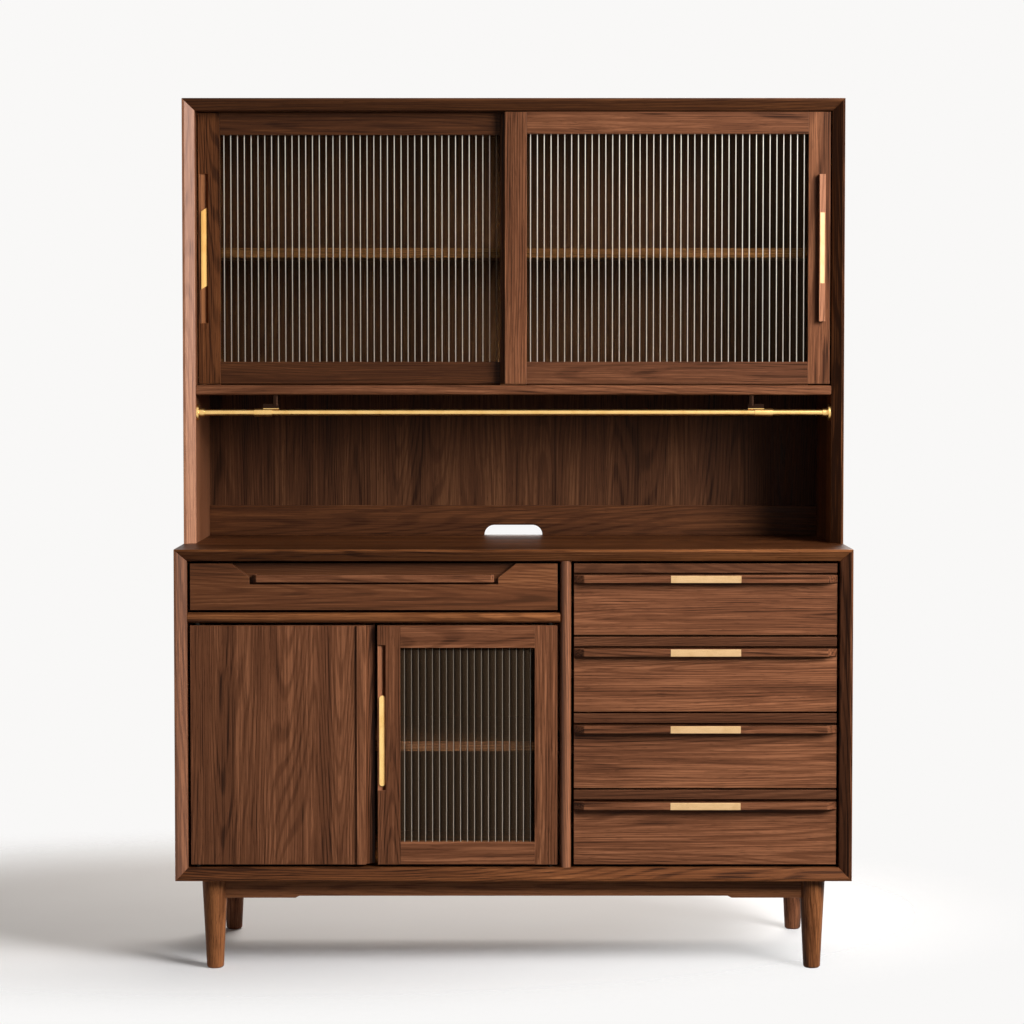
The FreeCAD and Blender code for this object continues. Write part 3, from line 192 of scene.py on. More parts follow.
# Figure of the wood. A noise is given by its patches to the metre along X, Y and Z, where Z is the grain,
# then its detail and perhaps its roughness. The rings are a wave, and its angle in radians follows a noise.
# A span is where rings or pores go from nothing to full.
DRIFT_NOISE = ((5.0, 5.0, 2.6), 2.0)
DRIFT_REACH = (0.014, 0.014, 0.0)
RING_NOISE = ((8.0, 8.0, 0.45), 1.0, 0.4)
RING_ANGLE = 320.0
RING_SPAN = (-0.1, 1.0)
STREAK_NOISE = ((24.0, 24.0, 0.9), 2.0, 0.5)
BAND_NOISE = ((170.0, 170.0, 2.0), 3.0)
FIBRE_NOISE = ((430.0, 430.0, 4.5), 3.0, 0.6)
PORE_NOISE = ((1150.0, 1150.0, 34.0), 1.0)
PORE_SPAN = (0.60, 0.70)

# What each layer of the figure adds to the tone, and where the tone goes from colour to colour.
STREAK_WEIGHT = 1.0
BAND_WEIGHT = 0.5
FIBRE_WEIGHT = 1.3
RING_WEIGHT = -0.2
TONE_BALANCE = 0.82
DARK_TO_MID = (0.1, 0.5)
MID_TO_LIGHT = (0.5, 0.95)
PORE_DARKNESS = 0.55

# What the layers do to the roughness and the height of the wood.
WOOD_ROUGHNESS = (0.36, 0.50)
PORE_ROUGHNESS = 0.12
RING_HEIGHT = -0.15
PORE_HEIGHT = -0.9

# Where most values of a noise lie, and its roughness where none is given.
NOISE_SPAN = (0.3, 0.7)
NOISE_ROUGHNESS = 0.55

# Where boards come from: how far to each side and from the heart of the tree, and how far apart along it.
SIDE_REACH = 0.31
SIDE_TURN = 7.3
HEART_START = 0.05
HEART_REACH = 0.05
BOARD_STEP = 1.7
GOLDEN_RATIO = (math.sqrt(5) - 1) / 2
# Boards are numbered. The back panels' and the golden boards' numbers start apart from the rest.
FIRST_BACK_PANEL = 100
FIRST_GOLDEN_BOARD = 110
# The sides of a drawer box are half a board further along the tree. A face belongs to a side where its
# normal has more than this share along X.
BOX_SIDE_STEP = 0.5
BOX_SIDE_SHARE = 0.5

# Roughness of the metals, and how far brushing changes it.
RAIL_ROUGHNESS = 0.28
INLAY_ROUGHNESS = 0.3
CANTED_ROUGHNESS = 0.7
STEEL_ROUGHNESS = 0.6
GLOSS_SPREAD = (-0.06, 0.08)

# Brushing and tarnish of the metals, as noise patches to the metre along X, Y and Z.
BRUSHED_ACROSS = (30.0, 2400.0, 2400.0)
BRUSHED_UP = (2400.0, 2400.0, 30.0)
BLASTED = (900.0, 900.0, 900.0)
BRUSH_DETAIL = 3.0
TARNISH_NOISE = ((35.0, 35.0, 35.0), 3.0)
TARNISH_SPAN = (0.40, 0.75)
METAL_BUMP = 0.15
METAL_BUMP_DEPTH = 0.0001

# The sleeves of the rail hangers are brass up to this height, and their posts are bronze.
SLEEVE_TOP = 1.1215

# Fluted glass: pitch, gap and rise as in the CAD panes, the steps of each arc, and where it stays smooth.
FLUTE_PITCH = 0.014
FLUTE_GAP = 0.0006
FLUTE_RISE = 0.0022
FLUTE_STEPS = 12
FLUTE_SMOOTH = math.radians(12)
# Shares of a flute's pitch: the distance of its crest from the valley, and half the width of a painted
# highlight line in the valley.
CREST = 0.5
VALLEY_HALF = 0.083
# The glass bends light by its index, and is blurred a little here and there.
GLASS_IOR = 1.15
GLASS_NOISE = ((60.0, 60.0, 9.0), 2.0)
GLASS_BLUR = (0.0, 0.05)
# Roughness of the diffuse lines of painted highlight.
FLUTE_HIGHLIGHTS_ROUGHNESS = 0.4

# Each CAD pane and the body that it rides on.
PANES = {
    "left_sliding_glass": "left_sliding_door",
    "right_sliding_glass": "right_sliding_door",
    "glass_door_pane": "glass_door",
}

# Eased edges: their widths and steps, how near points are welded first, and the angles up to which faces
# count as one and from which edges count as sharp.
EASED_WOOD = 0.0009
EASED_METAL = 0.0003
EASED_STEPS = 2
WELD_REACH = 0.00001
FLAT_ANGLE = math.radians(0.5)
SHARP_ANGLE = math.radians(28)

# The floor, where it keeps the dresser's shadow, and how slowly it fades along each axis.
FLOOR_RADIUS = 9.0
FLOOR_STEPS = 96
FLOOR_NOISE = ((3.0, 3.0, 3.0), 4.0)
FLOOR_ROUGHNESS = 0.7
SHADOW_MIDDLE = (-0.5, 0.4, 0.0)
SHADOW_SQUEEZE = (0.6, 1.0, 1.0)
SHADOW_FADE = (0.42, 1.05)

# Light on the dresser from all sides, and the lamps. Angles are in degrees: azimuth 0 is straight before the
# front, and 90 is to the right.
FILL_COLOUR = (1.0, 0.92, 0.85, 1.0)
FILL_STRENGTH = 0.04
LAMPS = {
    "key": {
        "azimuth": 46, "elevation": 26, "distance": 3.2,
        "size": (1.2, 1.6), "power": 116, "target": (0.0, 0.0, 0.9),
    },
    "low_key": {
        "azimuth": 46, "elevation": 24, "distance": 3.0,
        "size": (0.8, 0.8), "power": 3.1, "target": (0.0, 0.0, 0.45), "spread": 50,
    },
    "side_strip": {
        "azimuth": 65, "elevation": 20, "distance": 3.2,
        "size": (0.6, 2.4), "power": 27, "target": (0.0, 0.0, 1.1),
    },
    "background_lamp": {
        "azimuth": 165, "elevation": 50, "distance": 3.5,
        "size": (2.6, 1.5), "power": 118, "target": (0.0, 1.0, 0.0), "colour": (1.0, 0.95, 0.89),
    },
}


def linear(red, green, blue):
    """A colour given in sRGB steps of 0 to 255, as the linear numbers that shaders take."""
    shares = [value / 255 for value in (red, green, blue)]
    curve = [s / 12.92 if s <= 0.04045 else ((s + 0.055) / 1.055) ** 2.4 for s in shares]
    return (*curve, 1.0)


# Palettes of the woods. The back wood is darker than the walnut, partly painted shade for the dim insides of
# the cupboards and for the niche. The golden wood of the hutch shelf is paler, partly painted light on its
# front edge.
WALNUT = {"Dark": linear(48, 25, 13), "Mid": linear(108, 66, 43), "Light": linear(154, 100, 69)}
# The warm walnut is painted shade colour: the deeper hue that wood takes in shade.
WARM_WALNUT = {"Dark": linear(46, 22, 8), "Mid": linear(107, 63, 35), "Light": linear(153, 97, 58)}
# The shaded walnut is darker: painted shade.
SHADED_WALNUT = {"Dark": linear(44, 22, 9), "Mid": linear(74, 42, 23), "Light": linear(104, 63, 36)}
EVEN_WALNUT = {"Dark": linear(74, 43, 25), "Mid": linear(104, 62, 38), "Light": linear(140, 90, 58)}
# The highlighted walnut is paler: a painted highlight.
HIGHLIGHTED_WALNUT = {"Dark": linear(108, 66, 43), "Mid": linear(158, 104, 74), "Light": linear(190, 132, 98)}
GOLDEN_WOOD = {"Dark": linear(68, 42, 21), "Mid": linear(120, 76, 42), "Light": linear(158, 106, 64)}
BACK_WOOD = {"Dark": linear(38, 21, 11), "Mid": linear(76, 46, 29), "Light": linear(106, 69, 45)}
INNER_WOOD = {"Dark": linear(66, 40, 25), "Mid": linear(112, 72, 47), "Light": linear(150, 104, 72)}

# Metals, clean and tarnished, and the bronze of the rail's posts.
GOLD = (linear(242, 200, 128), linear(230, 184, 110))
PALE_GOLD = (linear(227, 187, 137), linear(215, 174, 123))
CANTED_GOLD = (linear(205, 166, 102), linear(194, 152, 88))
LIT_GOLD = (linear(198, 170, 128), linear(186, 157, 113))
BLACK_STEEL = (linear(40, 37, 34), linear(28, 26, 24))
BRONZE = linear(44, 28, 20)

# Colours of clear glass and of the light that falls through it.
CLEAR_GLASS = linear(222, 225, 222)
GLASS_SHADE = linear(224, 220, 213)
# Colours of the pale lines in the valleys between the flutes, at the foot and at the head of each pane.
# The lines are painted highlights for the lamps' reflections in the flutes, brighter toward the head of the
# sliding panes and toward the foot of the door's pane.
FLUTE_HIGHLIGHTS = {
    "left_sliding_glass": (linear(191, 180, 168), linear(231, 222, 209)),
    "right_sliding_glass": (linear(187, 176, 164), linear(240, 230, 217)),
    "glass_door_pane": (linear(166, 154, 141), linear(122, 112, 100)),
}
# Colour of the haze on the front of each pane between the lines, and its share. It is partly real haze and
# partly painted light: its warm colour and the door pane's larger share stand in for the lit inside seen
# through.
VEIL = linear(164, 132, 103)
HAZE_AND_INNER_LIGHT = {"left_sliding_glass": 0.010, "right_sliding_glass": 0.010, "glass_door_pane": 0.075}

# Darker and lighter parts of the floor, and the background.
FLOOR_LOW = linear(240, 238, 238)
FLOOR_HIGH = linear(248, 247, 247)
BACKGROUND = linear(249, 248, 247)


def add(tree, kind, inputs=None, **settings):
    """A new node whose inputs are set by name, to numbers or to other nodes' outputs."""
    node = tree.nodes.new(kind)
    for name, value in settings.items():
        setattr(node, name, value)
    for name, value in (inputs or {}).items():
        socket = node.inputs[name]
        if isinstance(value, bpy.types.NodeSocket):
            tree.links.new(value, socket)
        else:
            socket.default_value = value
    return node


def mix(tree, share, first, second):
    """The output of a node that goes from the first colour to the second."""
    node = tree.nodes.new("ShaderNodeMix")
    node.data_type = "RGBA"
    sockets = {socket.identifier: socket for socket in node.inputs}
    pairs = (("Factor_Float", share), ("A_Color", first), ("B_Color", second))
    for identifier, value in pairs:
        if isinstance(value, bpy.types.NodeSocket):
            tree.links.new(value, sockets[identifier])
        else:
            sockets[identifier].default_value = value
    return next(socket for socket in node.outputs if socket.identifier == "Result_Color")


def mix_shaders(tree, share, first, second):
    """A shader that goes from the first to the second."""
    return add(tree, "ShaderNodeMixShader", {0: share, 1: first.outputs[0], 2: second.outputs[0]})


def math_node(tree, operation, first, second, third=None):
    """The output of a Math node."""
    node = tree.nodes.new("ShaderNodeMath")
    node.operation = operation
    for socket, value in zip(node.inputs, (first, second, third)):
        if isinstance(value, bpy.types.NodeSocket):
            tree.links.new(value, socket)
        elif value is not None:
            socket.default_value = value
    return node.outputs["Value"]


def stretched_noise(tree, place, stretch, detail, roughness=NOISE_ROUGHNESS):
    """Noise whose patches are as many to the metre, along each axis, as stretch says."""
    scaled = add(tree, "ShaderNodeVectorMath", {0: place, 1: stretch}, operation="MULTIPLY")
    inputs = {"Vector": scaled.outputs["Vector"], "Scale": 1.0, "Detail": detail, "Roughness": roughness}
    return add(tree, "ShaderNodeTexNoise", inputs)


def ramp(tree, value, span, low=0.0, high=1.0):
    """A value that goes smoothly from low to high as the input goes from the span's start to its end."""
    start, end = span
    inputs = {"Value": value, "From Min": start, "From Max": end, "To Min": low, "To Max": high}
    return add(tree, "ShaderNodeMapRange", inputs, interpolation_type="SMOOTHSTEP").outputs["Result"]


def wood_group():
    """A node group that turns wood coordinates, in metres with Z along the grain, into a wood's looks."""
    group = bpy.data.node_groups.new("wood_figure", "ShaderNodeTree")
    sockets = group.interface
    sockets.new_socket("Place", in_out="INPUT", socket_type="NodeSocketVector")
    for name in ("Dark", "Mid", "Light"):
        sockets.new_socket(name, in_out="INPUT", socket_type="NodeSocketColor")
    sockets.new_socket("Tone", in_out="INPUT", socket_type="NodeSocketFloat")
    sockets.new_socket("Color", in_out="OUTPUT", socket_type="NodeSocketColor")
    sockets.new_socket("Roughness", in_out="OUTPUT", socket_type="NodeSocketFloat")
    sockets.new_socket("Height", in_out="OUTPUT", socket_type="NodeSocketFloat")
    given = add(group, "NodeGroupInput").outputs
    straight = given["Place"]

    # The lines of a tree wander a few millimetres to each side.
    drift = stretched_noise(group, straight, *DRIFT_NOISE).outputs["Color"]
    wander = {0: drift, 1: DRIFT_REACH, 2: straight}
    place = add(group, "ShaderNodeVectorMath", wander, operation="MULTIPLY_ADD").outputs["Vector"]

    # Growth rings: level lines of a slow noise, so boards show near-straight lines and long arches.
    slow = stretched_noise(group, place, *RING_NOISE).outputs["Fac"]
    wave = math_node(group, "SINE", math_node(group, "MULTIPLY", slow, RING_ANGLE), 0.0)
    rings = ramp(group, wave, RING_SPAN)

    streaks = stretched_noise(group, place, *STREAK_NOISE).outputs["Fac"]
    bands = stretched_noise(group, place, *BAND_NOISE).outputs["Fac"]
    fibres = stretched_noise(group, place, *FIBRE_NOISE).outputs["Fac"]
    pores = ramp(group, stretched_noise(group, place, *PORE_NOISE).outputs["Fac"], PORE_SPAN)

    tone = math_node(group, "MULTIPLY_ADD", streaks, STREAK_WEIGHT, given["Tone"])
    tone = math_node(group, "MULTIPLY_ADD", bands, BAND_WEIGHT, tone)
    tone = math_node(group, "MULTIPLY_ADD", fibres, FIBRE_WEIGHT, tone)
    tone = math_node(group, "MULTIPLY_ADD", rings, RING_WEIGHT, tone)
    balanced = math_node(group, "SUBTRACT", tone, TONE_BALANCE)
    lower = mix(group, ramp(group, balanced, DARK_TO_MID), given["Dark"], given["Mid"])
    whole = mix(group, ramp(group, balanced, MID_TO_LIGHT), lower, given["Light"])
    pore_share = math_node(group, "MULTIPLY", pores, PORE_DARKNESS)
    colour = mix(group, pore_share, whole, given["Dark"])

    smoothness = ramp(group, fibres, NOISE_SPAN, *WOOD_ROUGHNESS)
    roughness = math_node(group, "MULTIPLY_ADD", pores, PORE_ROUGHNESS, smoothness)
    raised = math_node(group, "MULTIPLY_ADD", rings, RING_HEIGHT, fibres)
    height = math_node(group, "MULTIPLY_ADD", pores, PORE_HEIGHT, raised)
    add(group, "NodeGroupOutput", {"Color": colour, "Roughness": roughness, "Height": height})
    return group


def new_material(name):
    """An empty material and its node tree."""
    material = bpy.data.materials.new(name)
    material.use_nodes = True
    material.node_tree.nodes.clear()
    return material, material.node_tree


def finish_material(tree, shader):
    """Links a shader to the material's output."""
    add(tree, "ShaderNodeOutputMaterial", {"Surface": shader.outputs[0]})


def board_offset(number):
    """Where in the tree a board comes from, so that no two boards share their figure."""
    side = SIDE_REACH * math.sin(SIDE_TURN * number)
    from_heart = HEART_START + HEART_REACH * (number * GOLDEN_RATIO % 1)
    return (side, from_heart, BOARD_STEP * number)


def turned_place(tree, place, grain, number):
    """Wood coordinates of a board whose grain runs along one axis of the frame."""
    inputs = {"Vector": place, "Rotation": GRAIN_TURN[grain], "Location": board_offset(number)}
    return add(tree, "ShaderNodeMapping", inputs).outputs["Vector"]


def box_place(tree, place, number):
    """Wood coordinates of a box: the sides' grain runs to the back, and all else runs across."""
    normal = add(tree, "ShaderNodeNewGeometry").outputs["True Normal"]
    sideways = add(tree, "ShaderNodeSeparateXYZ", {"Vector": normal}).outputs["X"]
    share = math_node(tree, "GREATER_THAN", math_node(tree, "ABSOLUTE", sideways, 0.0), BOX_SIDE_SHARE)
    across = turned_place(tree, place, "X", number)
    along = turned_place(tree, place, "Y", number + BOX_SIDE_STEP)
    return mix(tree, share, across, along)


def inside_box(tree, place, low, high):
    """1 within a box of the frame and 0 outside it."""
    middle = [(a + b) / 2 for a, b in zip(low, high)]
    reach = [(b - a) / 2 for a, b in zip(low, high)]
    moved = add(tree, "ShaderNodeVectorMath", {0: place, 1: middle}, operation="SUBTRACT")
    shares = add(tree, "ShaderNodeVectorMath", {0: moved.outputs["Vector"], 1: reach}, operation="DIVIDE")
    sizes = add(tree, "ShaderNodeVectorMath", {0: shares.outputs["Vector"]}, operation="ABSOLUTE")
    parts = add(tree, "ShaderNodeSeparateXYZ", {"Vector": sizes.outputs["Vector"]}).outputs
    level = math_node(tree, "MAXIMUM", parts["X"], parts["Y"])
    return math_node(tree, "LESS_THAN", math_node(tree, "MAXIMUM", level, parts["Z"]), 1.0)


def edge_highlight_share(tree):
    """How far a painted highlight lightens the colour: nothing on a face, and most at its edges."""
    eased = add(tree, "ShaderNodeBevel", {"Radius": EDGE_WIDTH}, samples=EDGE_SAMPLES).outputs["Normal"]
    sharp = add(tree, "ShaderNodeNewGeometry").outputs["Normal"]
    turn = {0: eased, 1: sharp}
    likeness = add(tree, "ShaderNodeVectorMath", turn, operation="DOT_PRODUCT").outputs["Value"]
    return ramp(tree, likeness, EDGE_LIKENESS, 0.0, EDGE_HIGHLIGHT)


def wood(name, palette, grain, number, tone=0.0, coat=LACQUER, patch=None, painted_shade=None):
    """A lacquered or oiled wood from its own place in the tree, with painted highlights at its edges,
    perhaps a patch of mostly painted light and shade, and perhaps a part under painted shade.
    """
    material, tree = new_material(name)
    place = add(tree, "ShaderNodeTexCoord").outputs["Object"]
    if grain == "box":
        grain_place = box_place(tree, place, number)
    else:
        grain_place = turned_place(tree, place, grain, number)
    # A patch lightens or darkens a part: mostly painted light and shade.
    if patch:
        patch_tone, low, high = patch
        tone = math_node(tree, "MULTIPLY_ADD", inside_box(tree, place, low, high), patch_tone, tone)
    given = {"Place": grain_place, "Tone": tone, **palette}
    figure = add(tree, "ShaderNodeGroup", given, node_tree=WOOD_FIGURE).outputs
    colour = figure["Color"]
    # Painted shade mixes a part toward the palette's dark colour.
    if painted_shade:
        painted_shade_share, low, high = painted_shade
        share = math_node(tree, "MULTIPLY", inside_box(tree, place, low, high), painted_shade_share)
        colour = mix(tree, share, colour, palette["Dark"])
    relief = {"Height": figure["Height"], "Strength": WOOD_BUMP, "Distance": WOOD_BUMP_DEPTH}
    inputs = {
        # The edges get painted highlights, toward the palette's light colour.
        "Base Color": mix(tree, edge_highlight_share(tree), colour, palette["Light"]),
        "Roughness": figure["Roughness"],
        "Normal": add(tree, "ShaderNodeBump", relief).outputs["Normal"],
        "Specular IOR Level": WOOD_SPECULAR,
        "Coat Weight": coat,
        "Coat Roughness": LACQUER_ROUGHNESS,
    }
    finish_material(tree, add(tree, "ShaderNodeBsdfPrincipled", inputs))
    return material


def brushed_metal(name, colours, stretch, roughness, bronze_above=None):
    """A metal brushed along one axis, with faint tarnish, and perhaps bronze above a height."""
    material, tree = new_material(name)
    place = add(tree, "ShaderNodeTexCoord").outputs["Object"]
    brushing = stretched_noise(tree, place, stretch, BRUSH_DETAIL).outputs["Fac"]
    tarnish = stretched_noise(tree, place, *TARNISH_NOISE).outputs["Fac"]
    base = mix(tree, ramp(tree, tarnish, TARNISH_SPAN), *colours)
    if bronze_above is not None:
        height = add(tree, "ShaderNodeSeparateXYZ", {"Vector": place}).outputs["Z"]
        base = mix(tree, math_node(tree, "GREATER_THAN", height, bronze_above), base, BRONZE)
    smoother, rougher = (roughness + change for change in GLOSS_SPREAD)
    relief = {"Height": brushing, "Strength": METAL_BUMP, "Distance": METAL_BUMP_DEPTH}
    inputs = {
        "Base Color": base,
        "Metallic": 1.0,
        "Roughness": ramp(tree, brushing, NOISE_SPAN, smoother, rougher),
        "Normal": add(tree, "ShaderNodeBump", relief).outputs["Normal"],
    }
    finish_material(tree, add(tree, "ShaderNodeBsdfPrincipled", inputs))
    return material


def flute_count(low, high):
    """How many whole flutes a pane holds."""
    return math.floor((high.x - low.x) / FLUTE_PITCH)


def glass(node, low, high):
    """Clear glass with a pale diffuse line in each valley between its flutes, a painted highlight."""
    material, tree = new_material(f"glass_{node}")
    place = add(tree, "ShaderNodeTexCoord").outputs["Object"]
    parts = add(tree, "ShaderNodeSeparateXYZ", {"Vector": place}).outputs
    first_valley = (low.x + high.x - FLUTE_PITCH * flute_count(low, high)) / 2
    moved = math_node(tree, "SUBTRACT", parts["X"], first_valley)
    along = math_node(tree, "FRACT", math_node(tree, "DIVIDE", moved, FLUTE_PITCH), 0.0)
    from_crest = math_node(tree, "ABSOLUTE", math_node(tree, "SUBTRACT", along, CREST), 0.0)
    line = ramp(tree, from_crest, (CREST - VALLEY_HALF, CREST - VALLEY_HALF / 2))
    unevenness = stretched_noise(tree, place, *GLASS_NOISE).outputs["Fac"]
    blur = ramp(tree, unevenness, NOISE_SPAN, *GLASS_BLUR)
    bending = {"Color": CLEAR_GLASS, "IOR": GLASS_IOR, "Roughness": blur}
    clear = add(tree, "ShaderNodeBsdfRefraction", bending)
    # The pale lines are painted highlights for the lamps' reflections in the flutes, graded by height.
    foot, head = FLUTE_HIGHLIGHTS[node]
    tint = mix(tree, ramp(tree, parts["Z"], (low.z, high.z)), foot, head)
    painted_highlight = add(tree, "ShaderNodeBsdfDiffuse", {"Color": tint, "Roughness": FLUTE_HIGHLIGHTS_ROUGHNESS})
    front = math_node(tree, "SUBTRACT", 1.0, add(tree, "ShaderNodeNewGeometry").outputs["Backfacing"])
    # The veil's warm colour is partly painted light from the lit inside.
    veil = add(tree, "ShaderNodeBsdfDiffuse", {"Color": VEIL})
    hazy = mix_shaders(tree, math_node(tree, "MULTIPLY", front, HAZE_AND_INNER_LIGHT[node]), clear, veil)
    pane = mix_shaders(tree, line, hazy, painted_highlight)
    through = add(tree, "ShaderNodeBsdfTransparent", {"Color": GLASS_SHADE})
    shadow = add(tree, "ShaderNodeLightPath").outputs["Is Shadow Ray"]
    finish_material(tree, mix_shaders(tree, shadow, pane, through))
    return material


def dress(name, material, eased):
    """Gives a CAD node its material and eases its sharp edges."""
    piece = nodes[name]
    piece.material_slots[0].material = material
    weld = piece.modifiers.new("weld", "WELD")
    weld.merge_threshold = WELD_REACH
    flat = piece.modifiers.new("flat_faces", "DECIMATE")
    flat.decimate_type = "DISSOLVE"
    flat.angle_limit = FLAT_ANGLE
    bevel = piece.modifiers.new("eased_edges", "BEVEL")
    bevel.width = eased
    bevel.segments = EASED_STEPS
    bevel.limit_method = "ANGLE"
    bevel.angle_limit = SHARP_ANGLE
    bevel.harden_normals = True
    piece.modifiers.new("even_normals", "WEIGHTED_NORMAL")


def fluted_outline(low, high):
    """The pane's outline seen from above: flutes along the front, then the flat back."""
    plate_front = low.y + FLUTE_RISE
    count = flute_count(low, high)
    first = (low.x + high.x) / 2 - FLUTE_PITCH * (count - 1) / 2
    half_chord = (FLUTE_PITCH - FLUTE_GAP) / 2
    radius = (half_chord ** 2 + FLUTE_RISE ** 2) / (2 * FLUTE_RISE)
    reach = math.asin(half_chord / radius)
    centre_y = low.y + radius
    points = [(low.x, plate_front)]
    for flute in range(count):
        middle = first + flute * FLUTE_PITCH
        for step in range(FLUTE_STEPS + 1):
            angle = reach * (2 * step / FLUTE_STEPS - 1)
            points.append((middle + radius * math.sin(angle), centre_y - radius * math.cos(angle)))
    return points + [(high.x, plate_front), (high.x, high.y), (low.x, high.y)]


def fluted_pane(node, body):
    """A pane with smooth flutes in the place of a CAD pane."""
    low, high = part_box(node)
    outline = fluted_outline(low, high)
    count = len(outline)
    points = [(x, y, z) for z in (low.z, high.z) for x, y in outline]
    sides = [(i, (i + 1) % count, (i + 1) % count + count, i + count) for i in range(count)]
    ends = [tuple(reversed(range(count))), tuple(range(count, 2 * count))]
    mesh = bpy.data.meshes.new(f"{node}_flutes")
    mesh.from_pydata(points, [], sides + ends)
    mesh.shade_smooth()
    mesh.set_sharp_from_angle(angle=FLUTE_SMOOTH)
    mesh.materials.append(glass(node, low, high))
    pane = bpy.data.objects.new(f"{node}_flutes", mesh)
    bpy.context.scene.collection.objects.link(pane)
    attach(pane, body)
    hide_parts(node)


def painted_shade_of(name):
    """The part of a board that is darkened with painted shade, if there is one."""
    if name not in DRAWER_FRONTS:
        return PAINTED_SHADE_PARTS.get(name)
    low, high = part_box(name)
    return STRIP_SHADE, (low.x, low.y - FACE_MARGIN, high.z - STRIP_HEIGHT), tuple(high)


def palette_of(name):
    """The colours of a walnut board."""
    if name in HIGHLIGHTED_BOARDS:
        return HIGHLIGHTED_WALNUT
    if name in SHADED_BOARDS:
        return SHADED_WALNUT
    if name in EVEN_BOARDS:
        return EVEN_WALNUT
    return WARM_WALNUT if name in WARM_BOARDS else WALNUT


def dress_wood():
    """Walnut, golden wood, back panels and inner wood, each board from its own place in the tree."""
    runs = [(name, "Z") for name in UPRIGHT_WALNUT]
    runs += [(name, "X") for name in LEVEL_WALNUT]
    runs += [(name, "Y") for name in DEEP_WALNUT]
    for number, (name, grain) in enumerate(runs):
        tone = BOARD_TONE_AND_LIGHT.get(name, 0.0)
        coat = BOARD_LACQUER.get(name, LACQUER)
        parts = (LIGHT_AND_TONE_PATCHES.get(name), painted_shade_of(name))
        material = wood(f"walnut_{name}", palette_of(name), grain, number, tone, coat, *parts)
        dress(name, material, EASED_WOOD)
    for number, name in enumerate(BACK_PANELS, FIRST_BACK_PANEL):
        dress(name, wood(f"back_{name}", BACK_WOOD, "Z", number, coat=BACK_LACQUER), EASED_WOOD)
    for number, name in enumerate(GOLDEN_BOARDS, FIRST_GOLDEN_BOARD):
        material = wood(f"shelf_{name}", GOLDEN_WOOD, "X", number, BOARD_TONE_AND_LIGHT[name], GOLDEN_LACQUER)
        dress(name, material, EASED_WOOD)
    inner = [(name, "box") for name in DRAWER_BOXES]
    inner += [(name, "Y") for name in RUNNERS]
    for number, (name, grain) in enumerate(inner, len(runs)):
        dress(name, wood(f"inner_{name}", INNER_WOOD, grain, number, coat=INNER_LACQUER), EASED_WOOD)


def dress_metal():
    """Brushed brass and blackened steel."""
    finishes = (
        (RAIL_BRASS, brushed_metal("brass_rail", GOLD, BRUSHED_ACROSS, RAIL_ROUGHNESS)),
        (LEVEL_BRASS, brushed_metal("brass_level", PALE_GOLD, BRUSHED_ACROSS, INLAY_ROUGHNESS)),
        (UPRIGHT_BRASS, brushed_metal("brass_upright", GOLD, BRUSHED_UP, INLAY_ROUGHNESS)),
        (CANTED_BRASS, brushed_metal("brass_canted", CANTED_GOLD, BRUSHED_UP, CANTED_ROUGHNESS)),
        (LIT_BRASS, brushed_metal("brass_lit", LIT_GOLD, BRUSHED_UP, CANTED_ROUGHNESS)),
        (HANGERS, brushed_metal("brass_hangers", GOLD, BRUSHED_ACROSS, RAIL_ROUGHNESS, SLEEVE_TOP)),
        (STEEL, brushed_metal("steel", BLACK_STEEL, BLASTED, STEEL_ROUGHNESS)),
    )
    for names, material in finishes:
        for name in names:
            dress(name, material, EASED_METAL)


def floor():
    """A pale floor that fades into the white background."""
    turns = [math.tau * step / FLOOR_STEPS for step in range(FLOOR_STEPS)]
    ring = [(FLOOR_RADIUS * math.cos(turn), FLOOR_RADIUS * math.sin(turn), 0.0) for turn in turns]
    mesh = bpy.data.meshes.new("floor")
    mesh.from_pydata(ring, [], [tuple(range(FLOOR_STEPS))])
    material, tree = new_material("floor")
    place = add(tree, "ShaderNodeTexCoord").outputs["Object"]
    mottle = stretched_noise(tree, place, *FLOOR_NOISE).outputs["Fac"]
    pale = mix(tree, mottle, FLOOR_LOW, FLOOR_HIGH)
    ground = add(tree, "ShaderNodeBsdfPrincipled", {"Base Color": pale, "Roughness": FLOOR_ROUGHNESS})
    # The shadow lies behind the front, to the left, so the floor fades round a place there.
    moved = add(tree, "ShaderNodeVectorMath", {0: place, 1: SHADOW_MIDDLE}, operation="SUBTRACT")
    squeeze = {0: moved.outputs["Vector"], 1: SHADOW_SQUEEZE}
    squeezed = add(tree, "ShaderNodeVectorMath", squeeze, operation="MULTIPLY")
    distance = add(tree, "ShaderNodeVectorMath", {0: squeezed.outputs["Vector"]}, operation="LENGTH")
    fade = ramp(tree, distance.outputs["Value"], SHADOW_FADE)
    clear = add(tree, "ShaderNodeBsdfTransparent")
    finish_material(tree, mix_shaders(tree, fade, ground, clear))
    mesh.materials.append(material)
    plane = bpy.data.objects.new("floor", mesh)
    bpy.context.scene.collection.objects.link(plane)


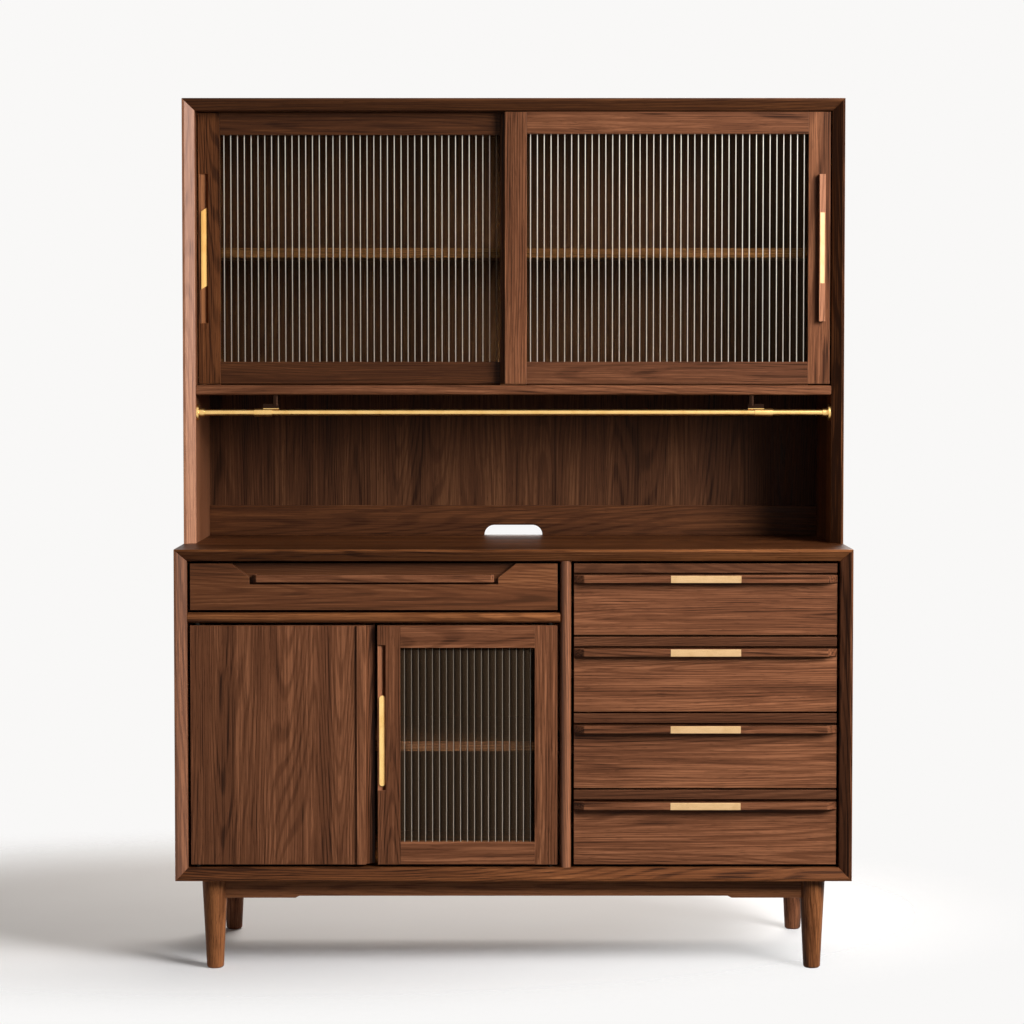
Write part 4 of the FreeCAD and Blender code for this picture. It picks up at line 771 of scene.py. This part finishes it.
def softbox(name, azimuth, elevation, distance, size, power, target, colour=(1.0, 1.0, 1.0),
            spread=180):
    """A soft lamp that looks at a target from a distance and shines over the angle of its spread."""
    lamp = bpy.data.lights.new(name, "AREA")
    lamp.shape = "RECTANGLE"
    lamp.size, lamp.size_y = size
    lamp.energy = power
    lamp.color = colour
    lamp.spread = math.radians(spread)
    box = bpy.data.objects.new(name, lamp)
    bpy.context.scene.collection.objects.link(box)
    turn, rise = math.radians(azimuth), math.radians(elevation)
    back = Vector((math.sin(turn) * math.cos(rise), -math.cos(turn) * math.cos(rise), math.sin(rise)))
    box.location = Vector(target) + back * distance
    box.rotation_euler = back.to_track_quat("Z", "Y").to_euler()
    box.visible_camera = False


def studio():
    """A white background with a weak fill, a key and a lower key, a strip at the side, and a lamp behind."""
    world = bpy.data.worlds.new("studio")
    bpy.context.scene.world = world
    world.use_nodes = True
    tree = world.node_tree
    tree.nodes.clear()
    seen = add(tree, "ShaderNodeBackground", {"Color": BACKGROUND, "Strength": 1.0})
    fill = add(tree, "ShaderNodeBackground", {"Color": FILL_COLOUR, "Strength": FILL_STRENGTH})
    path = add(tree, "ShaderNodeLightPath").outputs
    mirrored = math_node(tree, "MAXIMUM", path["Is Glossy Ray"], path["Is Transmission Ray"])
    white = math_node(tree, "MAXIMUM", path["Is Camera Ray"], mirrored)
    add(tree, "ShaderNodeOutputWorld", {"Surface": mix_shaders(tree, white, fill, seen).outputs[0]})
    for name, lamp in LAMPS.items():
        softbox(name, **lamp)


def camera():
    """A nearly level camera that stands where the photograph was taken from."""
    data = bpy.data.cameras.new("camera")
    data.lens = CAMERA_LENS
    data.sensor_width = SENSOR_WIDTH
    data.shift_y = CAMERA_SHIFT
    eye = bpy.data.objects.new("camera", data)
    bpy.context.scene.collection.objects.link(eye)
    eye.location = CAMERA_PLACE
    eye.rotation_euler = (QUARTER - CAMERA_PITCH, 0.0, 0.0)
    bpy.context.scene.camera = eye


WOOD_FIGURE = wood_group()
dress_wood()
dress_metal()
for pane_node, pane_body in PANES.items():
    fluted_pane(pane_node, pane_body)
floor()
studio()
camera()
bpy.context.scene.view_settings.view_transform = "Standard"
